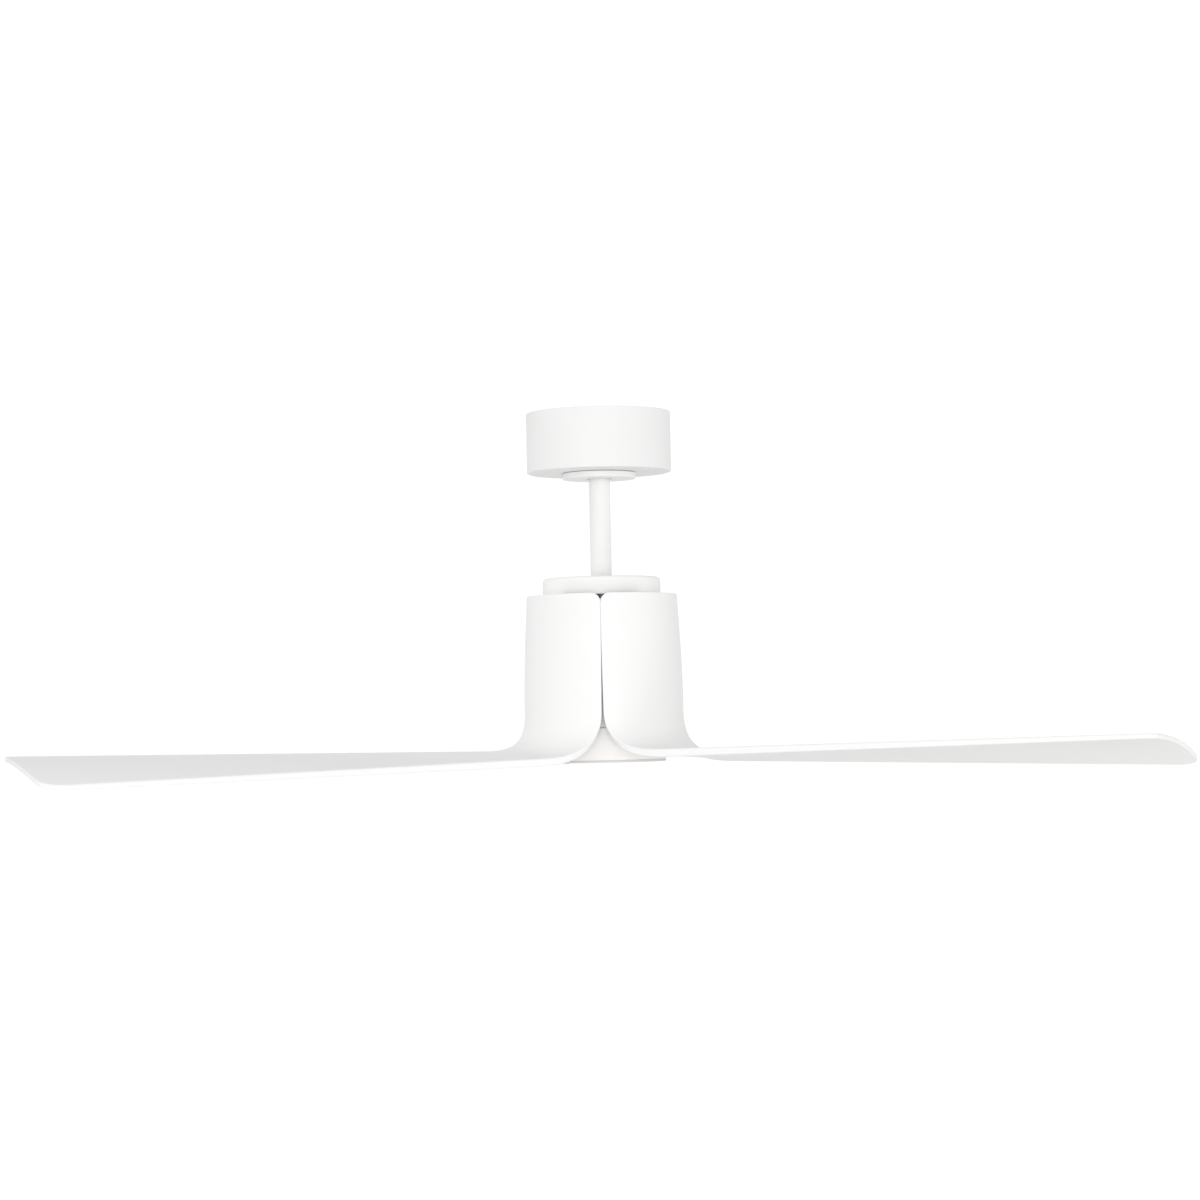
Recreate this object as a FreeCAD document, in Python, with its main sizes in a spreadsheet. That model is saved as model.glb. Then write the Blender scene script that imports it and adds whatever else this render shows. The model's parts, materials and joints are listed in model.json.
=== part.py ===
# Three-blade ceiling fan with a short downrod. Millimetres, +Z up.
# Origin: centre of the ceiling face of the hanger bracket. Everything hangs below Z = 0.
# Blade 1 points to the left and towards the viewer (azimuth 210 degrees), blade 2 to the right and
# towards the viewer (330 degrees), blade 3 straight back (90 degrees). The front seam between two
# blade roots is at azimuth 270 degrees.
import FreeCAD, Part
import Sketcher
import math
import os

V = FreeCAD.Vector
doc = FreeCAD.newDocument("ceiling_fan")

# ---------------------------------------------------------------- driving dimensions
TABLE = [
    # ceiling bracket
    ("bracket_len", 132.0), ("bracket_wide", 46.0), ("bracket_thick", 2.5),
    ("leg_in", 29.0), ("seat_top", 52.0), ("slot_pitch", 90.0), ("slot_long", 14.0), ("slot_wide", 6.4),
    ("cable_hole", 8.5), ("cable_off", 19.0),
    # ball joint
    ("ball_drop", 38.0), ("ball_rad", 19.0), ("seat_gap", 0.3), ("ball_cut", 15.0), ("ball_foot", 16.0),
    ("ball_bore", 12.4),
    ("key_wide", 3.0), ("groove_wide", 4.6),
    # canopy and its cover ring
    ("canopy_rad", 78.2), ("canopy_deep", 65.0), ("canopy_wall", 1.6), ("canopy_hole", 29.0),
    ("canopy_edge", 2.0), ("canopy_screw_rad", 34.0),
    ("ring_rad", 39.6), ("ring_gap", 0.5), ("ring_tall", 6.3), ("ring_wall", 1.6), ("ring_hole", 14.2),
    # downrod
    ("rod_rad", 11.4), ("rod_bore", 9.4), ("rod_top", 19.0), ("rod_end", 199.0), ("pin_rad", 3.0),
    # coupling and cap
    ("cap_top", 179.5), ("cap_low", 199.0), ("cap_rad", 63.7), ("cap_wall", 2.0), ("cap_edge", 4.0),
    ("cap_hole", 12.3), ("coupling_rad", 17.5), ("socket_gap", 0.6), ("coupling_low", 213.0), ("coupling_pin", 190.5),
    # motor
    ("shaft_rad", 8.5), ("shaft_bore", 4.5), ("shaft_step", 10.0), ("shaft_top", 200.5), ("shaft_end", 320.0),
    ("race_out", 17.5), ("race_mid", 14.6), ("race_in", 11.4), ("race_wide", 10.0),
    ("bearing_hi", 216.0), ("bearing_lo", 265.5),
    ("rotor_rad", 66.0), ("rotor_top", 204.0), ("rotor_split", 272.0), ("rotor_low", 341.0),
    ("rotor_wall", 2.5), ("ring_in", 52.0),
    ("flux_out", 63.5), ("flux_in", 62.0), ("magnet_in", 58.6), ("magnet_top", 227.0), ("magnet_tall", 32.0),
    ("stator_rad", 57.9), ("stator_top", 230.0), ("stator_tall", 26.0), ("yoke_rad", 34.0), ("yoke_in", 20.0),
    ("tooth_wide", 7.0),
    # driver
    ("driver_rad", 50.0), ("driver_top", 287.0), ("driver_low", 331.0), ("driver_wall", 2.0),
    # bottom cover
    ("cover_rad", 66.0), ("cover_top", 341.4), ("cover_notch", 346.3), ("cover_low", 378.5), ("cover_wall", 2.0), ("cover_edge", 2.5),
    # blades
    ("sweep_rad", 653.5), ("petal_top", 198.4), ("petal_rad_top", 81.2), ("petal_rad_low", 85.8),
    ("flare_top", 320.0), ("flare_out", 115.0), ("flare_power", 2.6),
    ("seam_top", 0.3), ("seam_low", 1.9),
    ("tip_half", 61.0), ("root_high", 364.4), ("tip_high", 356.7), ("root_low", 371.8), ("tip_low", 385.3),
    ("camber_root", 2.0), ("camber_tip", 5.5),
    ("petal_thick", 5.0), ("root_thick", 8.6), ("tip_thick", 5.0),
    ("crown_rad", 350.0), ("corner_high", 5.0), ("corner_low", 19.0), ("petal_corner", 10.0),
    ("tab_thick", 4.4), ("tab_half", 22.0), ("tab_screw", 57.2), ("tab_angle", 12.0),
]
dims = doc.addObject("Spreadsheet::Sheet", "dims")
for row, (alias, value) in enumerate(TABLE, start=1):
    dims.set("A%d" % row, alias)
    dims.set("B%d" % row, "%g" % value)
    dims.setAlias("B%d" % row, alias)
doc.recompute()


class Dim:
    """A size with its sheet expression, so that a number and its binding never part."""

    def __init__(self, text, value):
        self.text, self.value = text, float(value)

    @staticmethod
    def of(x):
        return x if isinstance(x, Dim) else Dim("%.6g" % x, x)

    def join(self, other, sign, value):
        return Dim("(%s %s %s)" % (self.text, sign, other.text), value)

    def __add__(self, o):
        o = Dim.of(o)
        return self.join(o, "+", self.value + o.value)

    def __sub__(self, o):
        o = Dim.of(o)
        return self.join(o, "-", self.value - o.value)

    def __mul__(self, o):
        o = Dim.of(o)
        return self.join(o, "*", self.value * o.value)

    def __truediv__(self, o):
        o = Dim.of(o)
        return self.join(o, "/", self.value / o.value)

    def __neg__(self):
        return Dim("(0 - %s)" % self.text, -self.value)


def d(alias):
    return Dim("dims." + alias, float(dims.get(alias)))


def bind(obj, prop, size):
    size = Dim.of(size)
    obj.setExpression(prop, size.text)


def place(obj, x=0, y=0, z=0):
    x, y, z = Dim.of(x), Dim.of(y), Dim.of(z)
    obj.Placement.Base = V(x.value, y.value, z.value)
    for axis, size in (("x", x), ("y", y), ("z", z)):
        obj.setExpression("Placement.Base." + axis, size.text)


def polar(radius, angle):
    """Sheet-bound x and y of a point on a circle."""
    radius = Dim.of(radius)
    c, s = math.cos(math.radians(angle)), math.sin(math.radians(angle))
    return radius * round(c, 9), radius * round(s, 9)


count = [0]


def tag(name):
    count[0] += 1
    return "%s_%d" % (name, count[0])


def cyl(radius, height, x=0, y=0, z=0, turn=None, angle=None, name="cyl"):
    o = doc.addObject("Part::Cylinder", tag(name))
    bind(o, "Radius", radius)
    bind(o, "Height", height)
    if angle is not None:
        o.Angle = angle
    if turn is not None:
        o.Placement.Rotation = turn
    place(o, x, y, z)
    return o


def box(lx, ly, lz, x=0, y=0, z=0, turn=None, name="box"):
    o = doc.addObject("Part::Box", tag(name))
    bind(o, "Length", lx)
    bind(o, "Width", ly)
    bind(o, "Height", lz)
    if turn is not None:
        o.Placement.Rotation = turn
    place(o, x, y, z)
    return o


def ball(radius, x=0, y=0, z=0, name="ball"):
    o = doc.addObject("Part::Sphere", tag(name))
    bind(o, "Radius", radius)
    place(o, x, y, z)
    return o


def label(o, node):
    if node:
        o.Label = node
        NODES[node] = o
    return o


def fuse(parts, node=None):
    o = doc.addObject("Part::MultiFuse", tag("fuse"))
    o.Shapes = parts
    o.Refine = True
    return label(o, node)


def cut(base, tools, node=None):
    if len(tools) > 1:
        t = doc.addObject("Part::MultiFuse", tag("tools"))
        t.Shapes = tools
    else:
        t = tools[0]
    o = doc.addObject("Part::Cut", tag("cut"))
    o.Base = base
    o.Tool = t
    return label(o, node)


def group(parts, node):
    o = doc.addObject("Part::Compound", tag("group"))
    o.Links = parts
    return label(o, node)


def origin_plane(body, role):
    return [f for f in body.Origin.OriginFeatures if f.Role == role][0]


def loop(sketch, points):
    """Closed outline whose corners are all bound to the sheet."""
    points = [(Dim.of(a), Dim.of(b)) for a, b in points]
    n, first = len(points), sketch.GeometryCount
    for i in range(n):
        (a, b), (e, f) = points[i], points[(i + 1) % n]
        sketch.addGeometry(Part.LineSegment(V(a.value, b.value, 0), V(e.value, f.value, 0)), False)
    for i in range(n):
        sketch.addConstraint(Sketcher.Constraint("Coincident", first + i, 2, first + (i + 1) % n, 1))
    for i, (a, b) in enumerate(points):
        for kind, size in (("DistanceX", a), ("DistanceY", b)):
            c = sketch.addConstraint(Sketcher.Constraint(kind, -1, 1, first + i, 1, size.value))
            sketch.setExpression("Constraints[%d]" % c, size.text)


def turned(node, points, edges=(), chamfer=()):
    """Body of revolution about Z. edges and chamfer: (radius, z, size) of circular edges to round or break."""
    body = doc.addObject("PartDesign::Body", tag("body"))
    sk = body.newObject("Sketcher::SketchObject", tag("profile"))
    sk.AttachmentSupport = [(origin_plane(body, "XZ_Plane"), "")]
    sk.MapMode = "FlatFace"
    loop(sk, points)
    rev = body.newObject("PartDesign::Revolution", tag("turn"))
    rev.Profile = sk
    rev.ReferenceAxis = (sk, ["V_Axis"])
    rev.Angle = 360
    tip = rev
    for kind, wanted in (("Fillet", edges), ("Chamfer", chamfer)):
        for radius, z, size in wanted:
            doc.recompute()
            radius, z, size = Dim.of(radius), Dim.of(z), Dim.of(size)
            names = []
            for i, e in enumerate(tip.Shape.Edges, start=1):
                if isinstance(e.Curve, Part.Circle) and abs(e.Curve.Radius - radius.value) < 1e-3 \
                        and abs(e.Curve.Center.z - z.value) < 1e-3:
                    names.append("Edge%d" % i)
            f = body.newObject("PartDesign::" + kind, tag(kind.lower()))
            f.Base = (tip, names)
            bind(f, "Radius" if kind == "Fillet" else "Size", size)
            tip = f
    body.Tip = tip
    return label(body, node)


def pocket_ring(body, hole, circle, number, start, role="XY_Plane"):
    """Through holes in a ring, as one pocket and its polar pattern."""
    doc.recompute()
    sk = body.newObject("Sketcher::SketchObject", tag("hole"))
    sk.AttachmentSupport = [(origin_plane(body, role), "")]
    sk.MapMode = "FlatFace"
    hole, (x, y) = Dim.of(hole), polar(circle, start)
    sk.addGeometry(Part.Circle(V(x.value, y.value, 0), V(0, 0, 1), hole.value), False)
    for kind, size in (("DistanceX", x), ("DistanceY", y)):
        c = sk.addConstraint(Sketcher.Constraint(kind, -1, 1, 0, 3, size.value))
        sk.setExpression("Constraints[%d]" % c, size.text)
    c = sk.addConstraint(Sketcher.Constraint("Radius", 0, hole.value))
    sk.setExpression("Constraints[%d]" % c, hole.text)
    before = body.Shape.Volume
    p = body.newObject("PartDesign::Pocket", tag("pocket"))
    p.Profile = sk
    p.Type = "ThroughAll"
    p.SideType = "Symmetric"
    body.Tip = p
    doc.recompute()
    if body.Shape.Volume > before - 1:
        raise RuntimeError("pocket cut nothing in " + body.Label)
    if number > 1:
        pat = body.newObject("PartDesign::PolarPattern", tag("pattern"))
        pat.Originals = [p]
        pat.Axis = (body.Origin.OriginFeatures[2], [""])
        pat.Angle = 360
        pat.Occurrences = number
        body.Tip = pat
        doc.recompute()


NODES = {}
DOWN = FreeCAD.Rotation(V(1, 0, 0), 180)
ALONG_X = FreeCAD.Rotation(V(0, 1, 0), 90)
ALONG_Y = FreeCAD.Rotation(V(1, 0, 0), -90)


def about_z(angle):
    return FreeCAD.Rotation(V(0, 0, 1), angle)


# ---------------------------------------------------------------- hanger bracket (fixed to the ceiling)
# A steel strap: flat plate against the ceiling with two long slots, two legs, and a seat with a keyhole
# through which the rod is brought in from the side before the ball drops into the round part.
T = d("bracket_thick")
plate = box(d("bracket_len"), d("bracket_wide"), T, -(d("bracket_len") / 2), -(d("bracket_wide") / 2), -T)
leg_r = box(T, d("bracket_wide"), d("seat_top"), d("leg_in"), -(d("bracket_wide") / 2), -d("seat_top"))
leg_l = box(T, d("bracket_wide"), d("seat_top"), -(d("leg_in") + T), -(d("bracket_wide") / 2), -d("seat_top"))
seat = box((d("leg_in") + T) * 2, d("bracket_wide"), T + 4, -(d("leg_in") + T), -(d("bracket_wide") / 2),
           -(d("seat_top") + T))
seat_bowl = ball(d("ball_rad") + d("seat_gap"), 0, 0, -d("ball_drop"))
keyhole = cyl(d("rod_rad") + 2.6, 20, 0, 0, -(d("seat_top") + 10))
keyway = box((d("rod_rad") + 1.2) * 2, d("bracket_wide"), 20, -(d("rod_rad") + 1.2), 0, -(d("seat_top") + 10))
slots = []
for side in (-1, 1):
    mid = d("slot_pitch") / 2 * side
    flat = d("slot_long") - d("slot_wide")
    slots.append(box(flat, d("slot_wide"), 8, mid - flat / 2, -(d("slot_wide") / 2), -5))
    slots.append(cyl(d("slot_wide") / 2, 8, mid - flat / 2, 0, -5))
    slots.append(cyl(d("slot_wide") / 2, 8, mid + flat / 2, 0, -5))
    # hole for the fixing screw of the canopy in each end of the seat
    slots.append(cyl(1.7, 20, d("canopy_screw_rad") * side, 0, -(d("seat_top") + 10)))
    # fixing holes in the legs for the terminal block and the receiver
    slots.append(cyl(1.6, 10, (d("leg_in") - 3) * side if side > 0 else -(d("leg_in") + 6), 14, -26, turn=ALONG_X))
    slots.append(cyl(1.6, 10, (d("leg_in") - 3) * side if side > 0 else -(d("leg_in") + 6), -14, -26, turn=ALONG_X))
# canopy tabs: the two ends of the seat reach out under the canopy screws
tabs = [box(12, 20, T, d("leg_in"), -10, -(d("seat_top") + T)),
        box(12, 20, T, -(d("leg_in") + 12), -10, -(d("seat_top") + T))]
key = box(3.6, d("key_wide"), 9, -(d("ball_rad") + 1.2), -(d("key_wide") / 2), -(d("seat_top") - 2))
cable = cyl(d("cable_hole"), 8, 0, 0, -5)
place(cable, d("leg_in") - 13, 0, -5)
strap = cut(fuse([plate, leg_r, leg_l, seat] + tabs), [seat_bowl, keyhole, keyway] + slots)
strap = cut(strap, [cable])
fuse([strap, key], "hanger_bracket")

# ---------------------------------------------------------------- canopy, cover ring and their screws
w = d("canopy_wall")
canopy = turned("canopy", [
    (d("canopy_rad") - w, 0), (d("canopy_rad"), 0), (d("canopy_rad"), -d("canopy_deep")),
    (d("canopy_hole"), -d("canopy_deep")), (d("canopy_hole"), -d("canopy_deep") + w),
    (d("canopy_rad") - w, -d("canopy_deep") + w)],
    edges=[(d("canopy_rad"), -d("canopy_deep"), d("canopy_edge"))])
pocket_ring(canopy, 2.2, d("canopy_screw_rad"), 2, 0)
ring_z = -(d("canopy_deep") + d("ring_gap"))
turned("canopy_ring", [
    (d("ring_rad") - d("ring_wall"), ring_z), (d("ring_rad"), ring_z), (d("ring_rad"), ring_z - d("ring_tall")),
    (d("ring_hole"), ring_z - d("ring_tall")), (d("ring_hole"), ring_z - d("ring_tall") + d("ring_wall")),
    (d("canopy_hole") - 2.2, ring_z - d("ring_tall") + d("ring_wall")), (d("canopy_hole") - 2.2, -d("canopy_deep") + 5),
    (d("canopy_hole") - 0.4, -d("canopy_deep") + 5), (d("canopy_hole") + 0.6, -d("canopy_deep") + 3.2),
    (d("canopy_hole") + 0.6, -d("canopy_deep") + 2.0), (d("canopy_hole") - 0.4, -d("canopy_deep") + 2.0),
    (d("canopy_hole") - 0.4, ring_z - d("ring_tall") + d("ring_wall")),
    (d("ring_rad") - d("ring_wall"), ring_z - d("ring_tall") + d("ring_wall"))],
    edges=[(d("ring_rad"), ring_z - d("ring_tall"), 0.8), (d("ring_hole"), ring_z - d("ring_tall"), 0.5)])


def screws(node, places, head_rad, head_tall, shank_rad, shank_long, up, socket=1.6):
    """Button screws. up=True: the shank points up, the head is underneath."""
    out = []
    for x, y, z in places:
        if up:
            head = cyl(head_rad, head_tall, x, y, Dim.of(z) - head_tall)
            shank = cyl(shank_rad, Dim.of(shank_long) + 0.5, x, y, Dim.of(z) - 0.5)
            key_z = Dim.of(z) - Dim.of(head_tall) - 1
        else:
            head = cyl(head_rad, head_tall, x, y, z)
            shank = cyl(shank_rad, Dim.of(shank_long) + 0.5, x, y, Dim.of(z) - shank_long)
            key_z = Dim.of(z) + Dim.of(head_tall) - 1.4
        whole = fuse([head, shank])
        bars = []
        for angle in (0, 90):
            t = about_z(angle)
            b = box(socket * 2, 0.8, 2.4, turn=t)
            off = t.multVec(V(-socket, -0.4, 0))
            place(b, Dim.of(x) + off.x, Dim.of(y) + off.y, key_z)
            bars.append(b)
        out.append(cut(whole, bars))
    return group(out, node)


screws("canopy_screws", [(d("canopy_screw_rad"), 0, -d("canopy_deep")), (-d("canopy_screw_rad"), 0, -d("canopy_deep"))],
       3.6, 2.3, 1.6, 15, True)

# ---------------------------------------------------------------- terminal block and receiver on the bracket legs
tb_x = d("leg_in") + T
block = box(15, 36, 16, tb_x, -18, -36, name="block")
cuts = []
for y in (-12, -4, 4, 12):
    cuts.append(cyl(2.4, 6, tb_x + 9, y, -24))
    cuts.append(cyl(1.6, 8, tb_x + 9, y, -31))
    cuts.append(cyl(1.8, 20, tb_x + 9, y, -31, turn=ALONG_X))
    cuts.append(cyl(1.4, 5.5, tb_x - 0.2, y, -31, turn=ALONG_X))
cut(block, cuts, "terminal_block")
screws("terminal_screws", [(tb_x + 9, y, -24) for y in (-12, -4, 4, 12)], 2.1, 2.0, 1.5, 4.4, False, socket=1.2)
rc_x = -(d("leg_in") + T + 25)
case = box(25, 56, 30, rc_x, -28, -46, name="case")
hollow = box(21, 52, 26, rc_x + 2, -26, -44)
gland = cyl(2.4, 8, rc_x + 12, -30, -30, turn=ALONG_Y)
cut(case, [hollow, gland], "receiver_case")
board = box(1.6, 50, 24, rc_x + 6, -25, -43)
chips = [box(5, 12, 10, rc_x + 7.6, -10, -38), cyl(5, 11, rc_x + 7.6, 14, -34, turn=ALONG_X),
         box(3, 9, 6, rc_x + 7.6, -20, -26)]
fuse([board] + chips, "receiver_board")


def tube(node, points, radius, bends):
    """Lead along straight runs joined by tangent arcs. bends: one radius for each inner point."""
    edges, last = [], points[0]
    for i in range(1, len(points) - 1):
        a, b, c = points[i - 1], points[i], points[i + 1]
        u, v = (a - b).normalize(), (c - b).normalize()
        half = math.acos(max(-1, min(1, u.dot(v)))) / 2
        back = bends[i - 1] / math.tan(half)
        p, q = b + u * back, b + v * back
        m = (u + v).normalize()
        centre = b + m * (bends[i - 1] / math.sin(half))
        mid = centre - m * bends[i - 1]
        edges.append(Part.LineSegment(last, p).toShape())
        edges.append(Part.Arc(p, mid, q).toShape())
        last = q
    edges.append(Part.LineSegment(last, points[-1]).toShape())
    wire = Part.Wire(edges)
    start = (points[1] - points[0]).normalize()
    disc = Part.Wire([Part.Circle(points[0], start, radius).toShape()])
    solid = wire.makePipeShell([disc], True, False)
    expect = math.pi * radius * radius * wire.Length
    if abs(solid.Volume - expect) > 0.02 * expect:
        raise RuntimeError("%s: pipe volume %g, expected %g" % (node, solid.Volume, expect))
    o = doc.addObject("Part::Feature", tag("lead"))
    o.Shape = solid
    return label(o, node) if node else o


lx = float(dims.get("leg_in")) + float(dims.get("bracket_thick"))
leads = []
for i in range(2):
    x0, far, low = -lx - 13 + 3.4 * i, -37.4 - 3.4 * i, -3.4 * i
    leads.append(tube(None, [V(x0, -28.2, -30), V(x0, far, -30), V(x0, far, -10 + low), V(lx + 7.5, far, -10 + low),
                             V(lx + 7.5, far, -27 + low), V(lx + 7.5, -18.2, -27 + low)], 1.3, [4, 5, 5, 5]))
group(leads, "supply_leads")

# ---------------------------------------------------------------- ball, cross pin, downrod
bz = -d("ball_drop")
sphere = ball(d("ball_rad"), 0, 0, bz)
top_trim = box(60, 60, 20, -30, -30, bz + d("ball_cut"))
low_trim = box(60, 60, 20, -30, -30, bz - d("ball_foot") - 20)
rod_way = cyl(d("ball_bore"), 60, 0, 0, bz - 30)
groove = box(7, d("groove_wide"), 40, -(d("ball_rad") + 1.5), -(d("groove_wide") / 2), bz - 34)
pin_way = cyl(d("pin_rad") + 0.05, 60, 0, -30, bz, turn=ALONG_Y)
cut(sphere, [top_trim, low_trim, rod_way, groove, pin_way], "hanger_ball")
cyl(d("pin_rad"), 35, 0, -17.5, bz, turn=ALONG_Y, name="pin")
label(doc.Objects[-1], "ball_pin")

rod = turned(None, [(d("rod_bore"), -d("rod_top")), (d("rod_rad"), -d("rod_top")), (d("rod_rad"), -d("rod_end")),
                    (d("rod_bore"), -d("rod_end"))])
cut(rod, [cyl(d("pin_rad"), 60, 0, -30, bz, turn=ALONG_Y),
          cyl(2.55, 60, 0, -30, -d("coupling_pin"), turn=ALONG_Y)], "downrod")

# ---------------------------------------------------------------- coupling on the motor shaft
# The rod end sits in the socket with a gap all round, so the motor can rock a little on its pin.
cpl = turned(None, [
    (d("rod_rad") + d("socket_gap"), -(d("cap_top") + d("cap_wall"))), (d("coupling_rad"), -(d("cap_top") + d("cap_wall"))),
    (d("coupling_rad"), -d("coupling_low")), (d("shaft_rad"), -d("coupling_low")),
    (d("shaft_rad"), -d("shaft_top")), (d("rod_rad") + d("socket_gap"), -d("shaft_top"))],
    edges=[(d("coupling_rad"), -d("coupling_low"), 1.0)])
pin_hole = cyl(2.5, 60, 0, -30, -d("coupling_pin"), turn=ALONG_Y)
set_holes = [cyl(2.0, 12, x0, 0, -(d("coupling_low") - 5), turn=ALONG_X)
             for x0 in (d("shaft_rad") - 1, -(d("shaft_rad") + 11))]
cap_holes = []
for a in (30, 150, 270):
    x, y = polar(14.9, a)
    cap_holes.append(cyl(1.2, 7, x, y, -(d("cap_top") + 7)))
cut(cpl, [pin_hole] + set_holes + cap_holes, "shaft_coupling")
pin = cyl(2.5, 42, 0, -20, -d("coupling_pin"), turn=ALONG_Y)
pin_head = cyl(4.2, 2.0, 0, -20, -d("coupling_pin"), turn=ALONG_Y)
pin_eye = cyl(0.9, 12, 0, 19.2, -(d("coupling_pin") + 6))
cut(fuse([pin, pin_head]), [pin_eye], "coupling_pin")
clip_bar = tube(None, [V(0, 19.2, -198.5), V(0, 19.2, -183.5), V(5, 19.2, -183.5), V(5, 19.2, -196)], 0.75, [1.6, 1.6])
label(clip_bar, "pin_clip")
grub = []
for x0 in (d("shaft_rad"), -(d("shaft_rad") + 8)):
    g = cyl(2.0, 8, x0, 0, -(d("coupling_low") - 5), turn=ALONG_X)
    grub.append(g)
group(grub, "shaft_set_screws")

# ---------------------------------------------------------------- cap over the coupling
ct, cl, cw = d("cap_top"), d("cap_low"), d("cap_wall")
cap = turned("top_cap", [
    (d("cap_hole"), -ct), (d("cap_rad"), -ct), (d("cap_rad"), -cl), (d("cap_rad") - cw, -cl),
    (d("cap_rad") - cw, -ct - cw), (d("cap_hole"), -ct - cw)],
    edges=[(d("cap_rad"), -ct, d("cap_edge")), (d("cap_rad") - cw, -ct - cw, d("cap_edge") - 2.0)])
pocket_ring(cap, 1.5, 14.9, 3, 30)
cap_places = []
for a in (30, 150, 270):
    x, y = polar(14.9, a)
    cap_places.append((x, y, -ct))
screws("cap_screws", cap_places, 2.0, 1.2, 1.15, 6.5, False, socket=1.0)

# ---------------------------------------------------------------- motor shaft, bearings
bh, bl, rw = d("bearing_hi"), d("bearing_lo"), d("race_wide")
turned("motor_shaft", [
    (d("shaft_bore"), -d("shaft_top") - 0.5), (d("shaft_rad"), -d("shaft_top") - 0.5), (d("shaft_rad"), -(bh + rw)),
    (d("shaft_step"), -(bh + rw)), (d("shaft_step"), -bl), (d("shaft_rad"), -bl), (d("shaft_rad"), -d("shaft_end")),
    (d("shaft_bore"), -d("shaft_end"))])


def race(z, inner):
    """Ring with a track whose sides slope, wider than the balls all round."""
    if inner:
        bore, face, floor = d("shaft_rad"), d("race_in"), d("race_in") - 0.95
    else:
        bore, face, floor = d("race_out"), d("race_mid"), d("race_mid") + 0.95
    return turned(None, [
        (bore, -z), (face, -z), (face, -(z + rw / 2 - 2.4)), (floor, -(z + rw / 2 - 1.2)), (floor, -(z + rw / 2 + 1.2)),
        (face, -(z + rw / 2 + 2.4)), (face, -(z + rw)), (bore, -(z + rw))])


group([race(bh, True), race(bl, True)], "bearing_inner_rings")
group([race(bh, False), race(bl, False)], "bearing_outer_rings")
balls = []
for z in (bh, bl):
    for i in range(9):
        x, y = polar((d("race_in") + d("race_mid")) / 2, i * 40)
        balls.append(ball(2.38, x, y, -(z + rw / 2)))
group(balls, "bearing_balls")
cages = []
for z in (bh, bl):
    ring = turned(None, [(12.3, -(z + 1.5)), (13.7, -(z + 1.5)), (13.7, -(z + rw - 1.5)), (12.3, -(z + rw - 1.5))])
    pockets = []
    for i in range(9):
        x, y = polar(11, i * 40)
        pockets.append(cyl(2.45, 4, x, y, -(z + rw / 2), turn=about_z(i * 40).multiply(ALONG_X)))
    cages.append(cut(ring, pockets))
group(cages, "bearing_cages")

# ---------------------------------------------------------------- stator on the shaft
st, sh = d("stator_top"), d("stator_tall")
turned("stator_hub", [(d("shaft_step"), -(st - 1)), (d("yoke_in"), -(st - 1)), (d("yoke_in"), -(st + sh + 1)),
                      (d("shaft_step"), -(st + sh + 1))])
yoke = turned(None, [(d("yoke_in"), -st), (d("yoke_rad"), -st), (d("yoke_rad"), -(st + sh)), (d("yoke_in"), -(st + sh))])
teeth = []
rim = turned(None, [(d("stator_rad") - 3.4, -st), (d("stator_rad"), -st), (d("stator_rad"), -(st + sh)),
                    (d("stator_rad") - 3.4, -(st + sh))])
mouths = []
for i in range(12):
    t = about_z(i * 30)
    b = box(d("stator_rad") - d("yoke_rad") - 0.4, d("tooth_wide"), sh, turn=t)
    off = t.multVec(V(float(dims.get("yoke_rad")) - 1.0, -float(dims.get("tooth_wide")) / 2, 0))
    place(b, off.x, off.y, -(st + sh))
    teeth.append(b)
    t = about_z(i * 30 + 15)
    m = box(9, 3.0, sh + 2, turn=t)
    off = t.multVec(V(52.0, -1.5, 0))
    place(m, off.x, off.y, -(st + sh + 1))
    mouths.append(m)
fuse([yoke, cut(rim, mouths)] + teeth, "stator_core")
coils = []
for i in range(12):
    t = about_z(i * 30)
    outer = box(17.4, 13.6, sh + 8, turn=t)
    off = t.multVec(V(35.6, -6.8, 0))
    place(outer, off.x, off.y, -(st + sh + 4))
    inner = box(19.4, d("tooth_wide") + 0.6, sh + 0.6, turn=t)
    off = t.multVec(V(34.6, -float(dims.get("tooth_wide")) / 2 - 0.3, 0))
    place(inner, off.x, off.y, -(st + sh + 0.3))
    coils.append(cut(outer, [inner]))
group(coils, "stator_windings")

# nut that clamps the lower inner ring, a hexagon with the shaft's thread size as bore
nut = doc.addObject("Part::Prism", tag("nut"))
nut.Polygon = 6
bind(nut, "Circumradius", 12.6)
bind(nut, "Height", 8)
place(nut, 0, 0, -(bl + rw + 8))
cut(nut, [cyl(d("shaft_rad"), 20, 0, 0, -(bl + rw + 14))], "shaft_nut")

# ---------------------------------------------------------------- driver under the motor, held by the fixed shaft
dt, dl, dr, dw = d("driver_top"), d("driver_low"), d("driver_rad"), d("driver_wall")
turned("driver_housing", [
    (d("shaft_rad"), -(dt + 2)), (13, -(dt + 2)), (13, -(dt + 5)), (dr - dw, -(dt + 5)), (dr - dw, -(dt + 2)), (dr, -(dt + 2)),
    (dr, -(dl - 2)), (dr - dw, -(dl - 2)), (dr - dw, -(dt + 7)), (13, -(dt + 7)), (13, -(dl - 14)), (d("shaft_rad"), -(dl - 14))])
turned("driver_lid", [(0.0, -(dl - 2)), (dr, -(dl - 2)), (dr, -dl), (0.0, -dl)], edges=[(dr, -dl, 0.8)])
pcb = turned(None, [(14.5, -(dt + 12)), (dr - dw - 2, -(dt + 12)), (dr - dw - 2, -(dt + 13.6)), (14.5, -(dt + 13.6))])
parts = []
for r, a, rad, tall in ((34, 20, 6, 20), (34, 50, 6, 20), (30, 110, 5, 16), (36, 150, 4, 12)):
    x, y = polar(r, a)
    parts.append(cyl(rad, Dim.of(tall) + 0.2, x, y, -(dt + 13.4 + tall)))
parts.append(box(24, 14, 8.2, -12, -38, -(dt + 21.4)))
parts.append(box(12, 10, 6.2, 18, -26, -(dt + 19.4)))
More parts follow.
